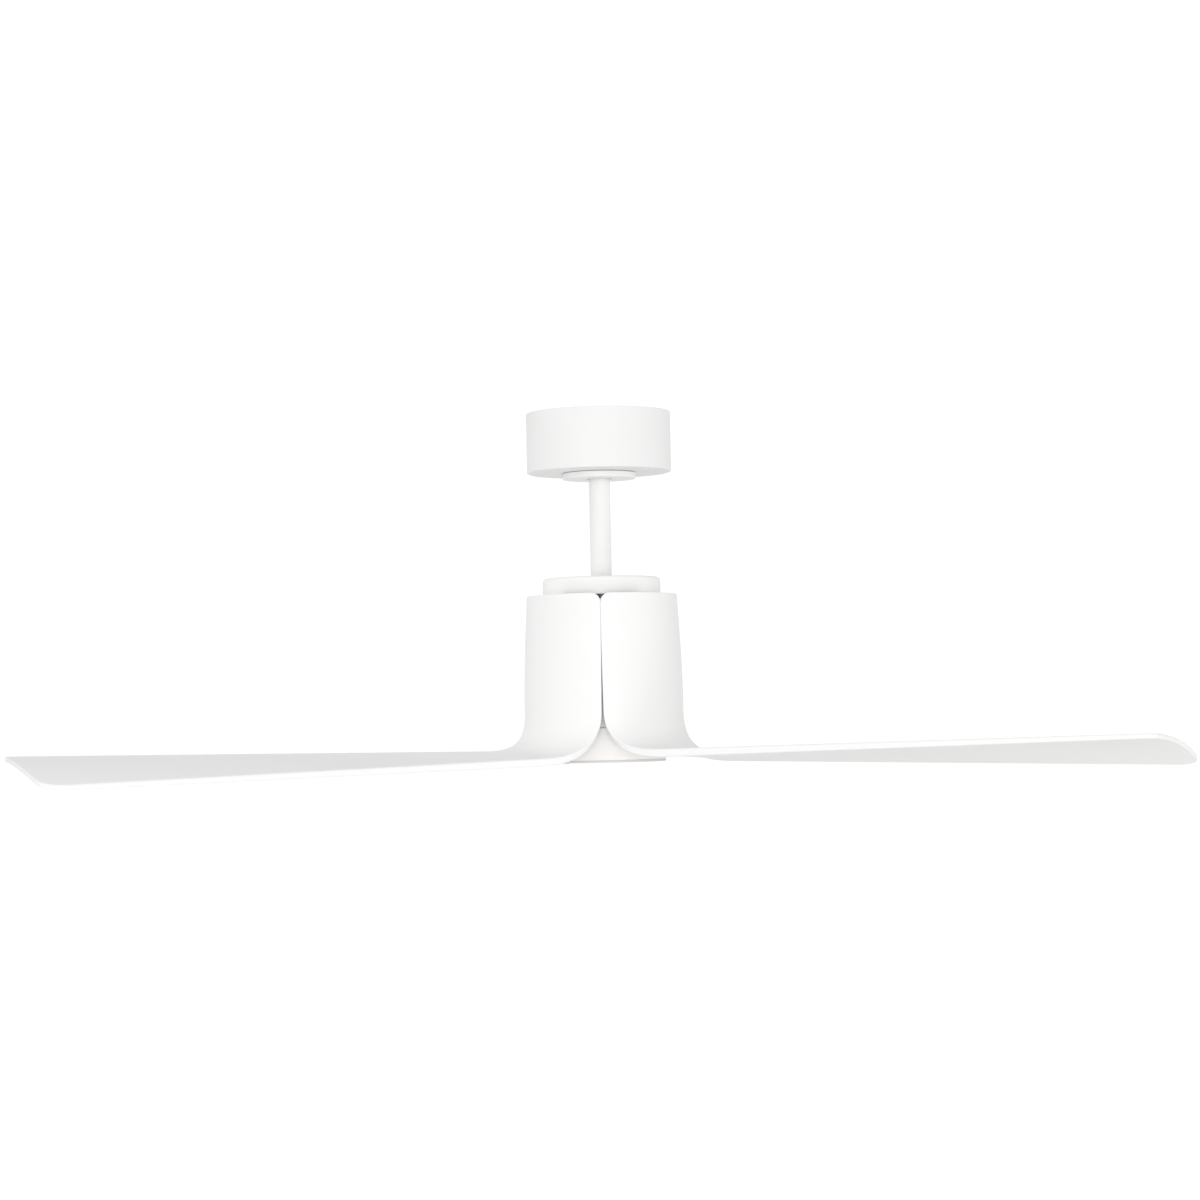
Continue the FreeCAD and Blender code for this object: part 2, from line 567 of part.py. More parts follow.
parts.append(box(10, 16, 14.2, -40, -18, -(dt + 27.4)))
fuse([pcb] + parts, "driver_board")
ring_clip = turned(None, [(d("shaft_rad") - 0.4, -(dl - 13.9)), (12, -(dl - 13.9)), (12, -(dl - 12.7)), (d("shaft_rad") - 0.4, -(dl - 12.7))])
label(cut(ring_clip, [cyl(d("shaft_rad"), 20, 0, 0, -(dl + 2)), box(20, 5, 20, 4, -2.5, -(dl - 0))]), "retaining_ring")

# motor lead: from the driver up through the shaft, past the coupling pin on one side, to a joint inside the rod
low_z = -float(dims.get("shaft_end")) - 1.0
tube("motor_lead", [V(0, 0, low_z), V(0, 0, -202.5), V(5.6, 0, -196), V(5.6, 0, -184), V(0, 0, -176), V(0, 0, -164)],
     2.2, [4, 4, 4, 4])
joint_body = cyl(6.0, 18, 0, 0, -168)
mouth = cyl(3.6, 10, 0, 0, -158)
entry = cyl(2.2, 5, 0, 0, -169)
cut(joint_body, [mouth, entry], "lead_joint")
# rod lead: from that joint's wide mouth up the rod, past the ball's pin on one side, and over to its connector
tube("rod_lead", [V(0, 0, -154), V(0, 0, -54), V(6, 0, -46), V(6, 0, -30), V(0, 0, -22), V(0, 0, -9.5), V(0, -21, -9.5)],
     2.2, [4, 4, 4, 4, 6.0])
plug = box(10, 13, 7.4, -5, -34, -13.2, name="plug")
pins = [cyl(0.9, 4, x, -36, -9.5, turn=ALONG_Y) for x in (-2.8, 0, 2.8)]
cut(plug, pins, "lead_connector")

# ---------------------------------------------------------------- rotor
rt, rs, rl, rr = d("rotor_top"), d("rotor_split"), d("rotor_low"), d("rotor_rad")
shell = turned("rotor_upper_shell", [
    (19, -rt), (rr, -rt), (rr, -rs), (d("flux_out"), -rs), (d("flux_out"), -(rt + 4)), (22, -(rt + 4)), (22, -(bh + rw)),
    (d("race_out"), -(bh + rw)), (d("race_out"), -bh), (15, -bh), (15, -(bh - 2)), (19, -(bh - 2))],
    edges=[(rr, -rt, 1.5)])
# bosses for the shell screws stand inside the wall
bosses, boss_holes = [], []
for a in (0, 60, 120, 180, 240, 300):
    x, y = polar(58.4, a)
    bosses.append(cyl(5.2, 10, x, y, -rs))
    boss_holes.append(cyl(1.7, 9, x, y, -(rs + 1)))
tab_holes = []
for k in (90, 210, 330):
    for s in (-1, 1):
        x, y = polar(d("tab_screw"), k + s * float(dims.get("tab_angle")))
        tab_holes.append(cyl(1.7, 9, x, y, -(rt + 6)))
NODES.pop("rotor_upper_shell")
shell.Label = "upper_shell_turned"
cut(fuse([shell] + bosses), boss_holes + tab_holes, "rotor_upper_shell")

lower = turned(None, [
    (rr, -rs), (rr, -rl), (d("ring_in"), -rl), (d("ring_in"), -(rl - 4.5)), (rr - d("rotor_wall"), -(rl - 4.5)),
    (rr - d("rotor_wall"), -(rs + 4.5)), (22.5, -(rs + 4.5)), (22.5, -(bl + rw + 3.5)), (14, -(bl + rw + 3.5)),
    (14, -(bl + rw)), (d("race_out"), -(bl + rw)), (d("race_out"), -bl), (22.5, -bl), (22.5, -rs)])
cuts = []
for a in (0, 60, 120, 180, 240, 300):
    x, y = polar(58.4, a)
    cuts.append(cyl(2.2, 12, x, y, -(rs + 8)))
for k in (90, 210, 330):
    for s in (-1, 1):
        x, y = polar(d("tab_screw"), k + s * float(dims.get("tab_angle")))
        cuts.append(cyl(1.7, 10, x, y, -(rl + 2)))
    # slot for the cover hook, and a vent window in the plate over the driver
    t = about_z(k + 40)
    off = t.multVec(V(58.8, -5.2, 0))
    b = box(3.4, 10.4, 8, turn=t)
    place(b, off.x, off.y, -(rl + 2))
    cuts.append(b)
    x, y = polar(38, k + 30)
    cuts.append(cyl(7, 12, x, y, -(rs + 8)))
cut(lower, cuts, "rotor_lower_shell")
places = []
for a in (0, 60, 120, 180, 240, 300):
    x, y = polar(58.4, a)
    places.append((x, y, -(rs + 4.5)))
screws("shell_screws", places, 3.4, 2.4, 1.65, 12.5, True)

turned("flux_ring", [(d("flux_in"), -d("magnet_top")), (d("flux_out"), -d("magnet_top")),
                     (d("flux_out"), -(d("magnet_top") + d("magnet_tall"))), (d("flux_in"), -(d("magnet_top") + d("magnet_tall")))])
magnets = []
for i in range(14):
    arc = cyl(d("flux_in"), d("magnet_tall"), 0, 0, -(d("magnet_top") + d("magnet_tall")), turn=about_z(i * 360.0 / 14 + 0.6),
              angle=360.0 / 14 - 1.2)
    core = cyl(d("magnet_in"), d("magnet_tall") + 2, 0, 0, -(d("magnet_top") + d("magnet_tall") + 1))
    magnets.append(cut(arc, [core]))
group(magnets, "rotor_magnets")


# ---------------------------------------------------------------- blades
# One moulding: a 120 degree petal wraps the motor drum, flares out at the bottom and becomes the blade.
# (w, s): w runs across from the high edge (-1) to the low edge (+1); s runs 0..1 down the petal,
# 1..2 through the flare and 2..3 out along the blade.
def size(alias):
    return float(dims.get(alias))


TIP_OVER = 6.0
SWEEP, RT, RB = size("sweep_rad"), size("petal_rad_top"), size("petal_rad_low")
Z_TOP, Z_FL, U_FL, POWER = -size("petal_top"), -size("flare_top"), size("flare_out"), size("flare_power")


def edge_angle(radius, share):
    half = (size("seam_top") + (size("seam_low") - size("seam_top")) * share) / 2
    return math.radians(60) - math.asin(half / radius)


PHI_FL = edge_angle(RB, 1.0)
U_EDGE, V_EDGE = RB * math.cos(PHI_FL), RB * math.sin(PHI_FL)
TAPER = (1 - size("tip_half") / V_EDGE) / (SWEEP - U_EDGE)


def mix(a, b, t):
    return a + (b - a) * t


def blade_height(u, q):
    t = (u - 110.0) / (655.0 - 110.0)
    high, low = -mix(size("root_high"), size("tip_high"), t), -mix(size("root_low"), size("tip_low"), t)
    camber = mix(size("camber_root"), size("camber_tip"), max(0.0, t))
    return (high + low) / 2 - q * (high - low) / 2 + camber * (1 - q * q)


def outer_point(w, s):
    if s <= 1:
        z = mix(Z_TOP, Z_FL, s)
        r = RT + (RB - RT) * math.sin(math.pi / 2 * min(1.0, max(0.0, s)))
        a = w * edge_angle(r, s)
        return V(r * math.cos(a), r * math.sin(a), z)
    a = w * PHI_FL
    u0, v0 = RB * math.cos(a), RB * math.sin(a)
    if s < 2:
        th = (s - 1) * math.pi / 2
        g, f = 1 - math.cos(th) ** (2 / POWER), math.sin(th) ** (2 / POWER)
        u = u0 + (U_FL - u0) * g
    else:
        f, u = 1.0, mix(U_FL, SWEEP, s - 2)
    v = v0 * (1 - TAPER * (u - u0))
    q = v / (V_EDGE * (1 - TAPER * (u - U_EDGE)))
    return V(u, v, Z_FL - (Z_FL - blade_height(u, q)) * f)


def thickness(s):
    if s <= 1:
        return size("petal_thick")
    if s < 2:
        return mix(size("petal_thick"), size("root_thick"), s - 1)
    return mix(size("root_thick"), size("tip_thick"), s - 2)


def normal(w, s):
    h = 0.01
    a, b = max(-1.0, w - h), min(1.0, w + h)
    across = outer_point(b, s) - outer_point(a, s)
    along = outer_point(w, s + h) - outer_point(w, max(0.0, s - h))
    n = across.cross(along)
    n.normalize()
    return n


def inner_point(w, s):
    # square to the skin round the petal and the flare, straight down under the flat of the blade
    n = normal(w, s) * -SIGN[0]
    share = min(1.0, max(0.0, (s - 1.7) / 0.5))
    share = share * share * (3 - 2 * share)
    n = n * (1 - share) + V(0, 0, -1) * share
    n.normalize()
    return outer_point(w, s) + n * thickness(s)


SIGN = [1.0]
if normal(0, 0.5).x < 0:
    SIGN[0] = -1.0

STEPS_W = [-1 + 2 * i / 20.0 for i in range(21)]
STEPS_S = [i / 6.0 for i in range(6)] + [1 + i / 12.0 for i in range(12)] + [2 + i / 14.0 for i in range(15)] + [3 + TIP_OVER / (SWEEP - U_FL)]


def net(point):
    return [[point(w, s) for s in STEPS_S] for w in STEPS_W]


def skin():
    """Outer and inner surface joined by ruled sides into one closed solid."""
    a, b = Part.BSplineSurface(), Part.BSplineSurface()
    a.interpolate(net(outer_point))
    b.interpolate(net(inner_point))
    fa, fb = a.toShape(), b.toShape()
    faces = [fa, fb]
    ua, ub = a.bounds(), b.bounds()
    for get in (lambda f, k: f.uIso(k[0]), lambda f, k: f.uIso(k[1]), lambda f, k: f.vIso(k[2]), lambda f, k: f.vIso(k[3])):
        ea, eb = get(a, ua).toShape(), get(b, ub).toShape()
        faces.append(Part.makeRuledSurface(ea, eb))
    shell_ = Part.Shell(faces)
    shell_.sewShape()
    solid = Part.Solid(shell_)
    if solid.Volume < 0:
        solid.reverse()
    return solid


def rib(v):
    """Web under the flare between the lower tab and the blade root, trimmed inside the moulding's wall."""
    pts = [V(69.5, v, -size("rotor_low") - 0.6)]
    w = math.asin(v / RB) / PHI_FL
    for s in (1.30, 1.42, 1.52, 1.62, 1.72, 1.82, 1.92):
        p = outer_point(w, s) - normal(w, s) * (thickness(s) * 0.5 * SIGN[0])
        pts.append(V(p.x, v, p.z))
    last = pts[-1]
    pts.append(V(last.x, v, last.z - 1.5))
    pts.append(V(69.5, v, -size("rotor_low") - 12.0))
    pts.append(pts[0])
    return Part.Face(Part.makePolygon(pts)).extrude(V(0, 3.0, 0))


moulding = doc.addObject("Part::Feature", "blade_moulding")
moulding.Shape = skin()

# the moulding runs past the tip and is cut there along one outline: a rounded corner, a slightly crowned end line
# and the other rounded corner
CROWN = size("crown_rad")
crown_mid = SWEEP - CROWN


def corner(alias, side):
    """Centre and radius of a tip corner's rounding, its end on the crowned line and its end past the long edge."""
    r = size(alias)
    slope = math.atan(V_EDGE * TAPER)
    oy = 40.0
    for _ in range(80):
        ox = crown_mid + math.sqrt((CROWN - r) ** 2 - oy * oy)
        oy = V_EDGE * (1 - TAPER * (ox - U_EDGE)) - r / math.cos(slope) + 0.15
    lean = math.atan2(oy, ox - crown_mid)
    mid = (lean + math.pi / 2) / 2
    on_crown = V(crown_mid + CROWN * math.cos(lean), side * CROWN * math.sin(lean), 0)
    between = V(ox + r * math.cos(mid), side * (oy + r * math.sin(mid)), 0)
    past_edge = V(ox, side * (oy + r), 0)
    return on_crown, between, past_edge


ch, mh, eh = corner("corner_high", -1)
cl, ml, el = corner("corner_low", 1)
outline = [
    Part.LineSegment(V(eh.x, -100, 0), eh).toShape(), Part.Arc(eh, mh, ch).toShape(),
    Part.Arc(ch, V(SWEEP, 0, 0), cl).toShape(), Part.Arc(cl, ml, el).toShape(),
    Part.LineSegment(el, V(el.x, 100, 0)).toShape(), Part.LineSegment(V(el.x, 100, 0), V(SWEEP + 40, 100, 0)).toShape(),
    Part.LineSegment(V(SWEEP + 40, 100, 0), V(SWEEP + 40, -100, 0)).toShape(),
    Part.LineSegment(V(SWEEP + 40, -100, 0), V(eh.x, -100, 0)).toShape()]
tip_block = doc.addObject("Part::Feature", tag("tip_waste"))
waste = Part.Face(Part.Wire(outline))
waste.translate(V(0, 0, -460))
tip_block.Shape = waste.extrude(V(0, 0, 200))
# rounded upper corners of the petal beside each seam
notches = []
for side in (-1, 1):
    r = size("petal_corner")
    t = about_z(60.0 * side)
    nb = box(30, r + 4, r + 4, turn=t)
    base_v = V(65, 0, 0)
    gap = size("seam_top") / 2
    # the block hangs over the corner; the cylinder inside it leaves the quarter round
    if side > 0:
        off = t.multVec(V(65, -gap - r, 0))
    else:
        off = t.multVec(V(65, gap - 4, 0))
    place(nb, off.x, off.y, Z_TOP - r)
    cyc = t.multVec(V(63, (-gap - r) if side > 0 else (gap + r), 0))
    rc = cyl(r, 34, turn=t.multiply(ALONG_X))
    place(rc, cyc.x, cyc.y, Z_TOP - r)
    notches.append(cut(nb, [rc]))
rough = cut(cut(moulding, [tip_block]), notches)


def sector(r_out, r_in, z_low, tall):
    half = size("tab_half")
    a = cyl(r_out, tall, 0, 0, z_low, turn=about_z(-half), angle=2 * half)
    b = cyl(r_in, Dim.of(tall) + 2, 0, 0, Dim.of(z_low) - 1)
    return cut(a, [b])


tab_up = sector(78.2, 52, -d("rotor_top"), d("tab_thick"))
tab_dn = sector(85.0, 52, -(d("rotor_low") + d("tab_thick")), d("tab_thick"))
ribs = []
for v in (-20.0, 17.0):
    o = doc.addObject("Part::Feature", tag("rib"))
    o.Shape = rib(v)
    ribs.append(o)
holes = []
for s in (-1, 1):
    x, y = polar(d("tab_screw"), s * float(dims.get("tab_angle")))
    holes.append(cyl(2.2, 10, x, y, -(d("rotor_top") + 2)))
    holes.append(cyl(2.2, 10, x, y, -(d("rotor_low") + 8)))
master = cut(fuse([rough, tab_up, tab_dn] + ribs), holes)
master.Label = "blade_master"
doc.recompute()
for node, angle in (("blade_1", 210), ("blade_2", 330), ("blade_3", 90)):
    b = doc.addObject("Part::Feature", node + "_solid")
    shape = master.Shape.copy()
    solids = shape.Solids
    b.Shape = solids[0] if len(solids) == 1 else shape
    b.Placement = FreeCAD.Placement(V(0, 0, 0), about_z(angle))
    label(b, node)

up, dn = [], []
for k in (90, 210, 330):
    for s in (-1, 1):
        x, y = polar(d("tab_screw"), k + s * float(dims.get("tab_angle")))
        up.append((x, y, -(d("rotor_top") - d("tab_thick"))))
        dn.append((x, y, -(d("rotor_low") + d("tab_thick"))))
screws("blade_screws_upper", up, 3.5, 2.5, 1.65, 8.2, False)
screws("blade_screws_lower", dn, 3.5, 2.5, 1.65, 8.2, True)

# ---------------------------------------------------------------- bottom cover with its three hooks
kt, kl, kr, kw, kn = d("cover_top"), d("cover_low"), d("cover_rad"), d("cover_wall"), d("cover_notch")
cup = turned(None, [
    (0, -kl), (kr, -kl), (kr, -kt), (kr - kw, -kt), (kr - kw, -(kl - kw)), (0, -(kl - kw))],
    edges=[(kr, -kl, d("cover_edge"))])
hooks = []
for k in (90, 210, 330):
    t = about_z(k + 40)
    stem = box(2.2, 8, 18.6, turn=t)
    off = t.multVec(V(59.2, -4, 0))
    place(stem, off.x, off.y, -(kn + 4.7))
    nose = box(2.2, 8, 2.0, turn=t)
    off = t.multVec(V(57.2, -4, 0))
    place(nose, off.x, off.y, -(rl - 4.9))
    foot = box(6, 8, 3, turn=t)
    off = t.multVec(V(59.2, -4, 0))
    place(foot, off.x, off.y, -(kn + 4.7))
    hooks += [stem, nose, foot]
tab_ways = []
for k in (90, 210, 330):
    wide = 2 * (size("tab_half") + 1.6)
    slice_ = cyl(d("cover_rad") + 4, 12, 0, 0, -kn, turn=about_z(k - wide / 2), angle=wide)
    tab_ways.append(cut(slice_, [cyl(d("cover_rad") - d("cover_wall") - 1.4, 14, 0, 0, -kn - 1)]))
cut(fuse([cup] + hooks), tab_ways, "bottom_cover")

# ---------------------------------------------------------------- check and write
doc.recompute()
bad = [o.Name + " " + str(o.State) for o in doc.Objects if "Invalid" in o.State or "Error" in o.State]
if bad:
    raise RuntimeError("failed objects: " + "; ".join(bad))
for node, o in NODES.items():
    if o.Shape.isNull() or not o.Shape.isValid():
        raise RuntimeError("bad shape: " + node)
os.makedirs("parts", exist_ok=True)
for old in os.listdir("parts"):
    if old.endswith(".step") and old[:-5] not in NODES:
        os.remove(os.path.join("parts", old))
for node, o in NODES.items():
    o.Shape.exportStep("parts/%s.step" % node)
    bb = o.Shape.BoundBox
    print("%-22s solids %2d  vol %9.1f  x %.1f..%.1f y %.1f..%.1f z %.1f..%.1f" % (
        node, len(o.Shape.Solids), o.Shape.Volume, bb.XMin, bb.XMax, bb.YMin, bb.YMax, bb.ZMin, bb.ZMax))
print(len(NODES), "nodes")
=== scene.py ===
import json
import math

import bpy
import numpy as np
from mathutils import Matrix, Vector


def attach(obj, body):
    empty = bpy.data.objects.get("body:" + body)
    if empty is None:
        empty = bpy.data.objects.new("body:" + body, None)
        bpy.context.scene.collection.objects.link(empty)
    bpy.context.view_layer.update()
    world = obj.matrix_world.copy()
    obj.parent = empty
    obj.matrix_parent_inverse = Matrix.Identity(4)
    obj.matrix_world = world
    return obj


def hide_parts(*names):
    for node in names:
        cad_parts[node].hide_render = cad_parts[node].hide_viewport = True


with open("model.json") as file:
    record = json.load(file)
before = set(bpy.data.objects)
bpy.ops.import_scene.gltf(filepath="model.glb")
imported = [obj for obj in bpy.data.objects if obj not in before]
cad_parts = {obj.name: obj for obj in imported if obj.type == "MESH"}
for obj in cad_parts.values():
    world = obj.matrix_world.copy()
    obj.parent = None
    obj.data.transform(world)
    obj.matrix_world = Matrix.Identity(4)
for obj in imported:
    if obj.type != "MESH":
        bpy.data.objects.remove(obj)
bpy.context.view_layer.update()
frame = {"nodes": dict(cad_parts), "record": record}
scene = bpy.context.scene
MM = 0.001

# ------------------------------------------------------------------ camera
# Eye a little above the blades, far back and level with the hub; the whole frame is rolled by about a degree.
EYE = Vector((0.065, -3.200, -0.3335))
PITCH, YAW, ROLL = math.radians(2.333), math.radians(-1.1987), math.radians(1.22)
cam_data = bpy.data.cameras.new("camera")
cam = bpy.data.objects.new("camera", cam_data)
scene.collection.objects.link(cam)
cam_data.sensor_width = 36.0
cam_data.lens = 88.64
cam_data.clip_start, cam_data.clip_end = 0.05, 100.0
look = Vector((math.sin(YAW) * math.cos(PITCH), math.cos(YAW) * math.cos(PITCH), math.sin(PITCH)))
right0 = look.cross(Vector((0, 0, 1))).normalized()
up0 = right0.cross(look).normalized()
up = (up0 * math.cos(ROLL) + right0 * math.sin(ROLL)).normalized()
right = look.cross(up).normalized()
cam.matrix_world = Matrix((
    (right.x, up.x, -look.x, EYE.x),
    (right.y, up.y, -look.y, EYE.y),
    (right.z, up.z, -look.z, EYE.z),
    (0, 0, 0, 1)))
scene.camera = cam
scene.view_settings.view_transform = "Standard"
scene.view_settings.look = "None"


# ------------------------------------------------------------------ materials
def new_material(name):
    m = bpy.data.materials.new(name)
    m.use_nodes = True
    nt = m.node_tree
    nt.nodes.clear()
    out = nt.nodes.new("ShaderNodeOutputMaterial")
    p = nt.nodes.new("ShaderNodeBsdfPrincipled")
    nt.links.new(p.outputs["BSDF"], out.inputs["Surface"])
    return m, nt, p


def noise(nt, scale, detail=2.0, rough=0.5, stretch=None, seed=0.0):
    """Noise in metres of the row frame."""
    co = nt.nodes.new("ShaderNodeTexCoord")
    mp = nt.nodes.new("ShaderNodeMapping")
    mp.inputs["Location"].default_value = (seed, seed * 1.7, seed * 2.3)
    if stretch:
        mp.inputs["Scale"].default_value = stretch
    n = nt.nodes.new("ShaderNodeTexNoise")
    n.inputs["Scale"].default_value = scale
    n.inputs["Detail"].default_value = detail
    n.inputs["Roughness"].default_value = rough
    nt.links.new(co.outputs["Object"], mp.inputs["Vector"])
    nt.links.new(mp.outputs["Vector"], n.inputs["Vector"])
    return n.outputs["Fac"]


def ramp(nt, fac, stops):
    r = nt.nodes.new("ShaderNodeValToRGB")
    el = r.color_ramp.elements
    while len(el) < len(stops):
        el.new(0.5)
    for e, (pos, col) in zip(el, stops):
        e.position = pos
        e.color = (*col, 1.0) if len(col) == 3 else col
    nt.links.new(fac, r.inputs["Fac"])
    return r.outputs["Color"]


def spread(nt, fac, lo, hi, lo_in=0.3, hi_in=0.7):
    m = nt.nodes.new("ShaderNodeMapRange")
    m.inputs["From Min"].default_value = lo_in
    m.inputs["From Max"].default_value = hi_in
    m.inputs["To Min"].default_value = lo
    m.inputs["To Max"].default_value = hi
    nt.links.new(fac, m.inputs["Value"])
    return m.outputs["Result"]


def bump(nt, height, strength, distance, after=None):
    b = nt.nodes.new("ShaderNodeBump")
    b.inputs["Strength"].default_value = strength
    b.inputs["Distance"].default_value = distance
    nt.links.new(height, b.inputs["Height"])
    if after is not None:
        nt.links.new(after, b.inputs["Normal"])
    return b.outputs["Normal"]


def shade(c, k):
    return tuple(max(0.0, min(1.0, x * k)) for x in c)


def coated(name, color, rough, grain, grain_depth, vary=0.012, coat=0.0, metallic=0.0, spec=0.5, tone=0.9):
    """Paint or moulded plastic: faint cloudy tone, uneven gloss, fine surface grain over a slow ripple."""
    m, nt, p = new_material(name)
    cloud = noise(nt, 9.0, 3.0, 0.55)
    fleck = noise(nt, grain * 0.6, 2.0, 0.6, seed=3.1)
    mix = nt.nodes.new("ShaderNodeMixRGB")
    mix.blend_type = "MULTIPLY"
    mix.inputs["Fac"].default_value = 1.0
    nt.links.new(ramp(nt, cloud, [(0.3, shade(color, 1 - vary)), (0.7, shade(color, 1 + vary))]), mix.inputs["Color1"])
    nt.links.new(ramp(nt, fleck, [(0.35, (1 - vary * 0.6,) * 3), (0.65, (1.0, 1.0, 1.0))]), mix.inputs["Color2"])
    nt.links.new(mix.outputs["Color"], p.inputs["Base Color"])
    nt.links.new(spread(nt, noise(nt, 26.0, 4.0, 0.6, seed=7.7), rough - 0.05, rough + 0.06), p.inputs["Roughness"])
    slow = bump(nt, noise(nt, grain * 0.22, 2.0, 0.5, seed=1.3), 0.25, grain_depth * 2.0)
    fine = bump(nt, noise(nt, grain, 3.0, 0.6, seed=5.9), 0.5, grain_depth, after=slow)
    nt.links.new(fine, p.inputs["Normal"])
    p.inputs["Metallic"].default_value = metallic
    p.inputs["IOR"].default_value = 1.48
    p.inputs["Specular IOR Level"].default_value = spec
    p.inputs["Coat Weight"].default_value = coat
    p.inputs["Coat Roughness"].default_value = 0.35
    return m


def metal(name, color, rough, stretch=(1, 1, 1), grain=1400.0, depth=0.00002, vary=0.06, wear=0.0):
    """Bare or plated metal: drawn or turned marks, cloudy plating, uneven gloss."""
    m, nt, p = new_material(name)
    marks = noise(nt, grain, 4.0, 0.65, stretch=stretch)
    cloud = noise(nt, 60.0, 4.0, 0.6, seed=2.2)
    mix = nt.nodes.new("ShaderNodeMixRGB")
    mix.blend_type = "MULTIPLY"
    mix.inputs["Fac"].default_value = 1.0
    nt.links.new(ramp(nt, cloud, [(0.3, shade(color, 1 - vary)), (0.7, shade(color, 1 + vary))]), mix.inputs["Color1"])
    nt.links.new(ramp(nt, marks, [(0.3, (1 - vary,) * 3), (0.7, (1.0, 1.0, 1.0))]), mix.inputs["Color2"])
    nt.links.new(mix.outputs["Color"], p.inputs["Base Color"])
    nt.links.new(spread(nt, marks, rough - 0.07, rough + 0.1), p.inputs["Roughness"])
    nt.links.new(bump(nt, marks, 0.4, depth), p.inputs["Normal"])
    p.inputs["Metallic"].default_value = 1.0
    return m


WHITE = (0.87, 0.87, 0.865)
MAT = {
    "painted_white": coated("satin_powder_coat", (0.875, 0.875, 0.87), 0.5, 900.0, 0.00006, vary=0.008, spec=0.25),
    "blade_white": coated("moulded_blade_white", (0.9, 0.9, 0.895), 0.55, 2200.0, 0.00005, vary=0.008, spec=0.3),
    "cover_white": coated("moulded_cover_white", (0.93, 0.91, 0.895), 0.52, 1900.0, 0.00005, vary=0.008, spec=0.2),
    "zinc_steel": metal("zinc_plated_steel", (0.62, 0.625, 0.63), 0.34, (1, 6, 1), 700.0),
    "bearing_steel": metal("ground_steel", (0.68, 0.69, 0.7), 0.2, (1, 1, 12), 900.0, 0.00001, 0.03),
    "cast_alloy": metal("cast_alloy", (0.62, 0.63, 0.64), 0.5, (1, 1, 1), 420.0, 0.00012, 0.07),
    "laminated_steel": metal("stacked_sheets", (0.3, 0.3, 0.32), 0.5, (0.02, 0.02, 1), 2000.0, 0.00015, 0.16),
    "copper_wire": metal("wound_copper", (0.72, 0.34, 0.16), 0.32, (0.05, 0.05, 1), 1600.0, 0.0003, 0.2),
    "magnet_black": coated("ferrite", (0.06, 0.06, 0.065), 0.65, 1500.0, 0.0001, vary=0.1, spec=0.4),
    "board_green": coated("solder_mask", (0.03, 0.2, 0.08), 0.3, 800.0, 0.00006, vary=0.12, coat=0.3),
    "block_plastic": coated("terminal_plastic", (0.8, 0.78, 0.72), 0.5, 1600.0, 0.00006, vary=0.02),
    "case_plastic": coated("receiver_plastic", (0.84, 0.84, 0.83), 0.55, 1300.0, 0.0001, vary=0.02),
    "ball_nylon": coated("nylon", (0.05, 0.05, 0.052), 0.5, 1200.0, 0.00008, vary=0.08),
    "lead_white": coated("lead_insulation", (0.82, 0.82, 0.81), 0.45, 900.0, 0.00005, vary=0.02),
    "brass_bare": metal("turned_brass", (0.78, 0.58, 0.26), 0.3, (1, 1, 8), 900.0),
}
# lighter and darker copies of the one white paint, as painted light and shade: the canopy a little darker, the ring
# lighter, and the cap lighter to make up for the shade between rod and petals
CANOPY_SHADED_WHITE = coated("canopy_painted_shade_white", (0.852, 0.852, 0.848), 0.5, 900.0, 0.00006, vary=0.008, spec=0.25)
CAP_LIT_WHITE = coated("cap_painted_light_white", (0.925, 0.925, 0.92), 0.5, 900.0, 0.00006, vary=0.008, spec=0.3)
RING_LIT_WHITE = coated("ring_painted_light_white", (0.90, 0.90, 0.895), 0.5, 900.0, 0.00006, vary=0.008, spec=0.3)
# painted shade: a darker grey for the band round the foot of the bottom cover, standing in for the shade along its
# lower edge
FOOT_BAND_PAINTED_SHADE = coated("foot_band_painted_shade", (0.69, 0.685, 0.665), 0.55, 900.0, 0.00005, vary=0.008, spec=0.2)
slots = {s["node"]: s["material_slot"] for s in frame["record"]["subparts"]}
for node, obj in frame["nodes"].items():
    obj.data.materials.clear()
    obj.data.materials.append(MAT[slots[node]])


# ------------------------------------------------------------------ mesh helpers
def make(name, verts, faces, body, slot, stands_for=(), smooth=True, weighted=True, look=None):
    me = bpy.data.meshes.new(name)
    me.from_pydata([tuple(v) for v in verts], [], [tuple(int(i) for i in f) for f in faces])
    me.update()
    if smooth:
        me.polygons.foreach_set("use_smooth", [True] * len(me.polygons))
    ob = bpy.data.objects.new(name, me)
    scene.collection.objects.link(ob)
    me.materials.append(look or MAT[slot])
    if weighted:
        wn = ob.modifiers.new("normals", "WEIGHTED_NORMAL")
        wn.mode = "FACE_AREA"
        wn.keep_sharp = False
    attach(ob, body)
    if stands_for:
        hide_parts(*stands_for)
    return ob


def rounded(points, steps=5):
    """points: (r, z, radius). Each corner of the closed outline with a radius becomes an arc."""
    out, n = [], len(points)
    for i in range(n):
        p = np.array(points[i][:2], float)
        r = points[i][2] if len(points[i]) > 2 else 0.0
        a, b = np.array(points[i - 1][:2], float), np.array(points[(i + 1) % n][:2], float)
        if r <= 0:
            out.append(tuple(p))
            continue
        u, v = (a - p) / np.linalg.norm(a - p), (b - p) / np.linalg.norm(b - p)
        half = math.acos(max(-1.0, min(1.0, float(u @ v)))) / 2
        back = r / math.tan(half)
        c = p + (u + v) / np.linalg.norm(u + v) * (r / math.sin(half))
        p0, p1 = p + u * back - c, p + v * back - c
        a0, a1 = math.atan2(p0[1], p0[0]), math.atan2(p1[1], p1[0])
        turn = (a1 - a0 + math.pi) % (2 * math.pi) - math.pi
        for k in range(steps + 1):
            t = a0 + turn * k / steps
            out.append((c[0] + r * math.cos(t), c[1] + r * math.sin(t)))
    return out


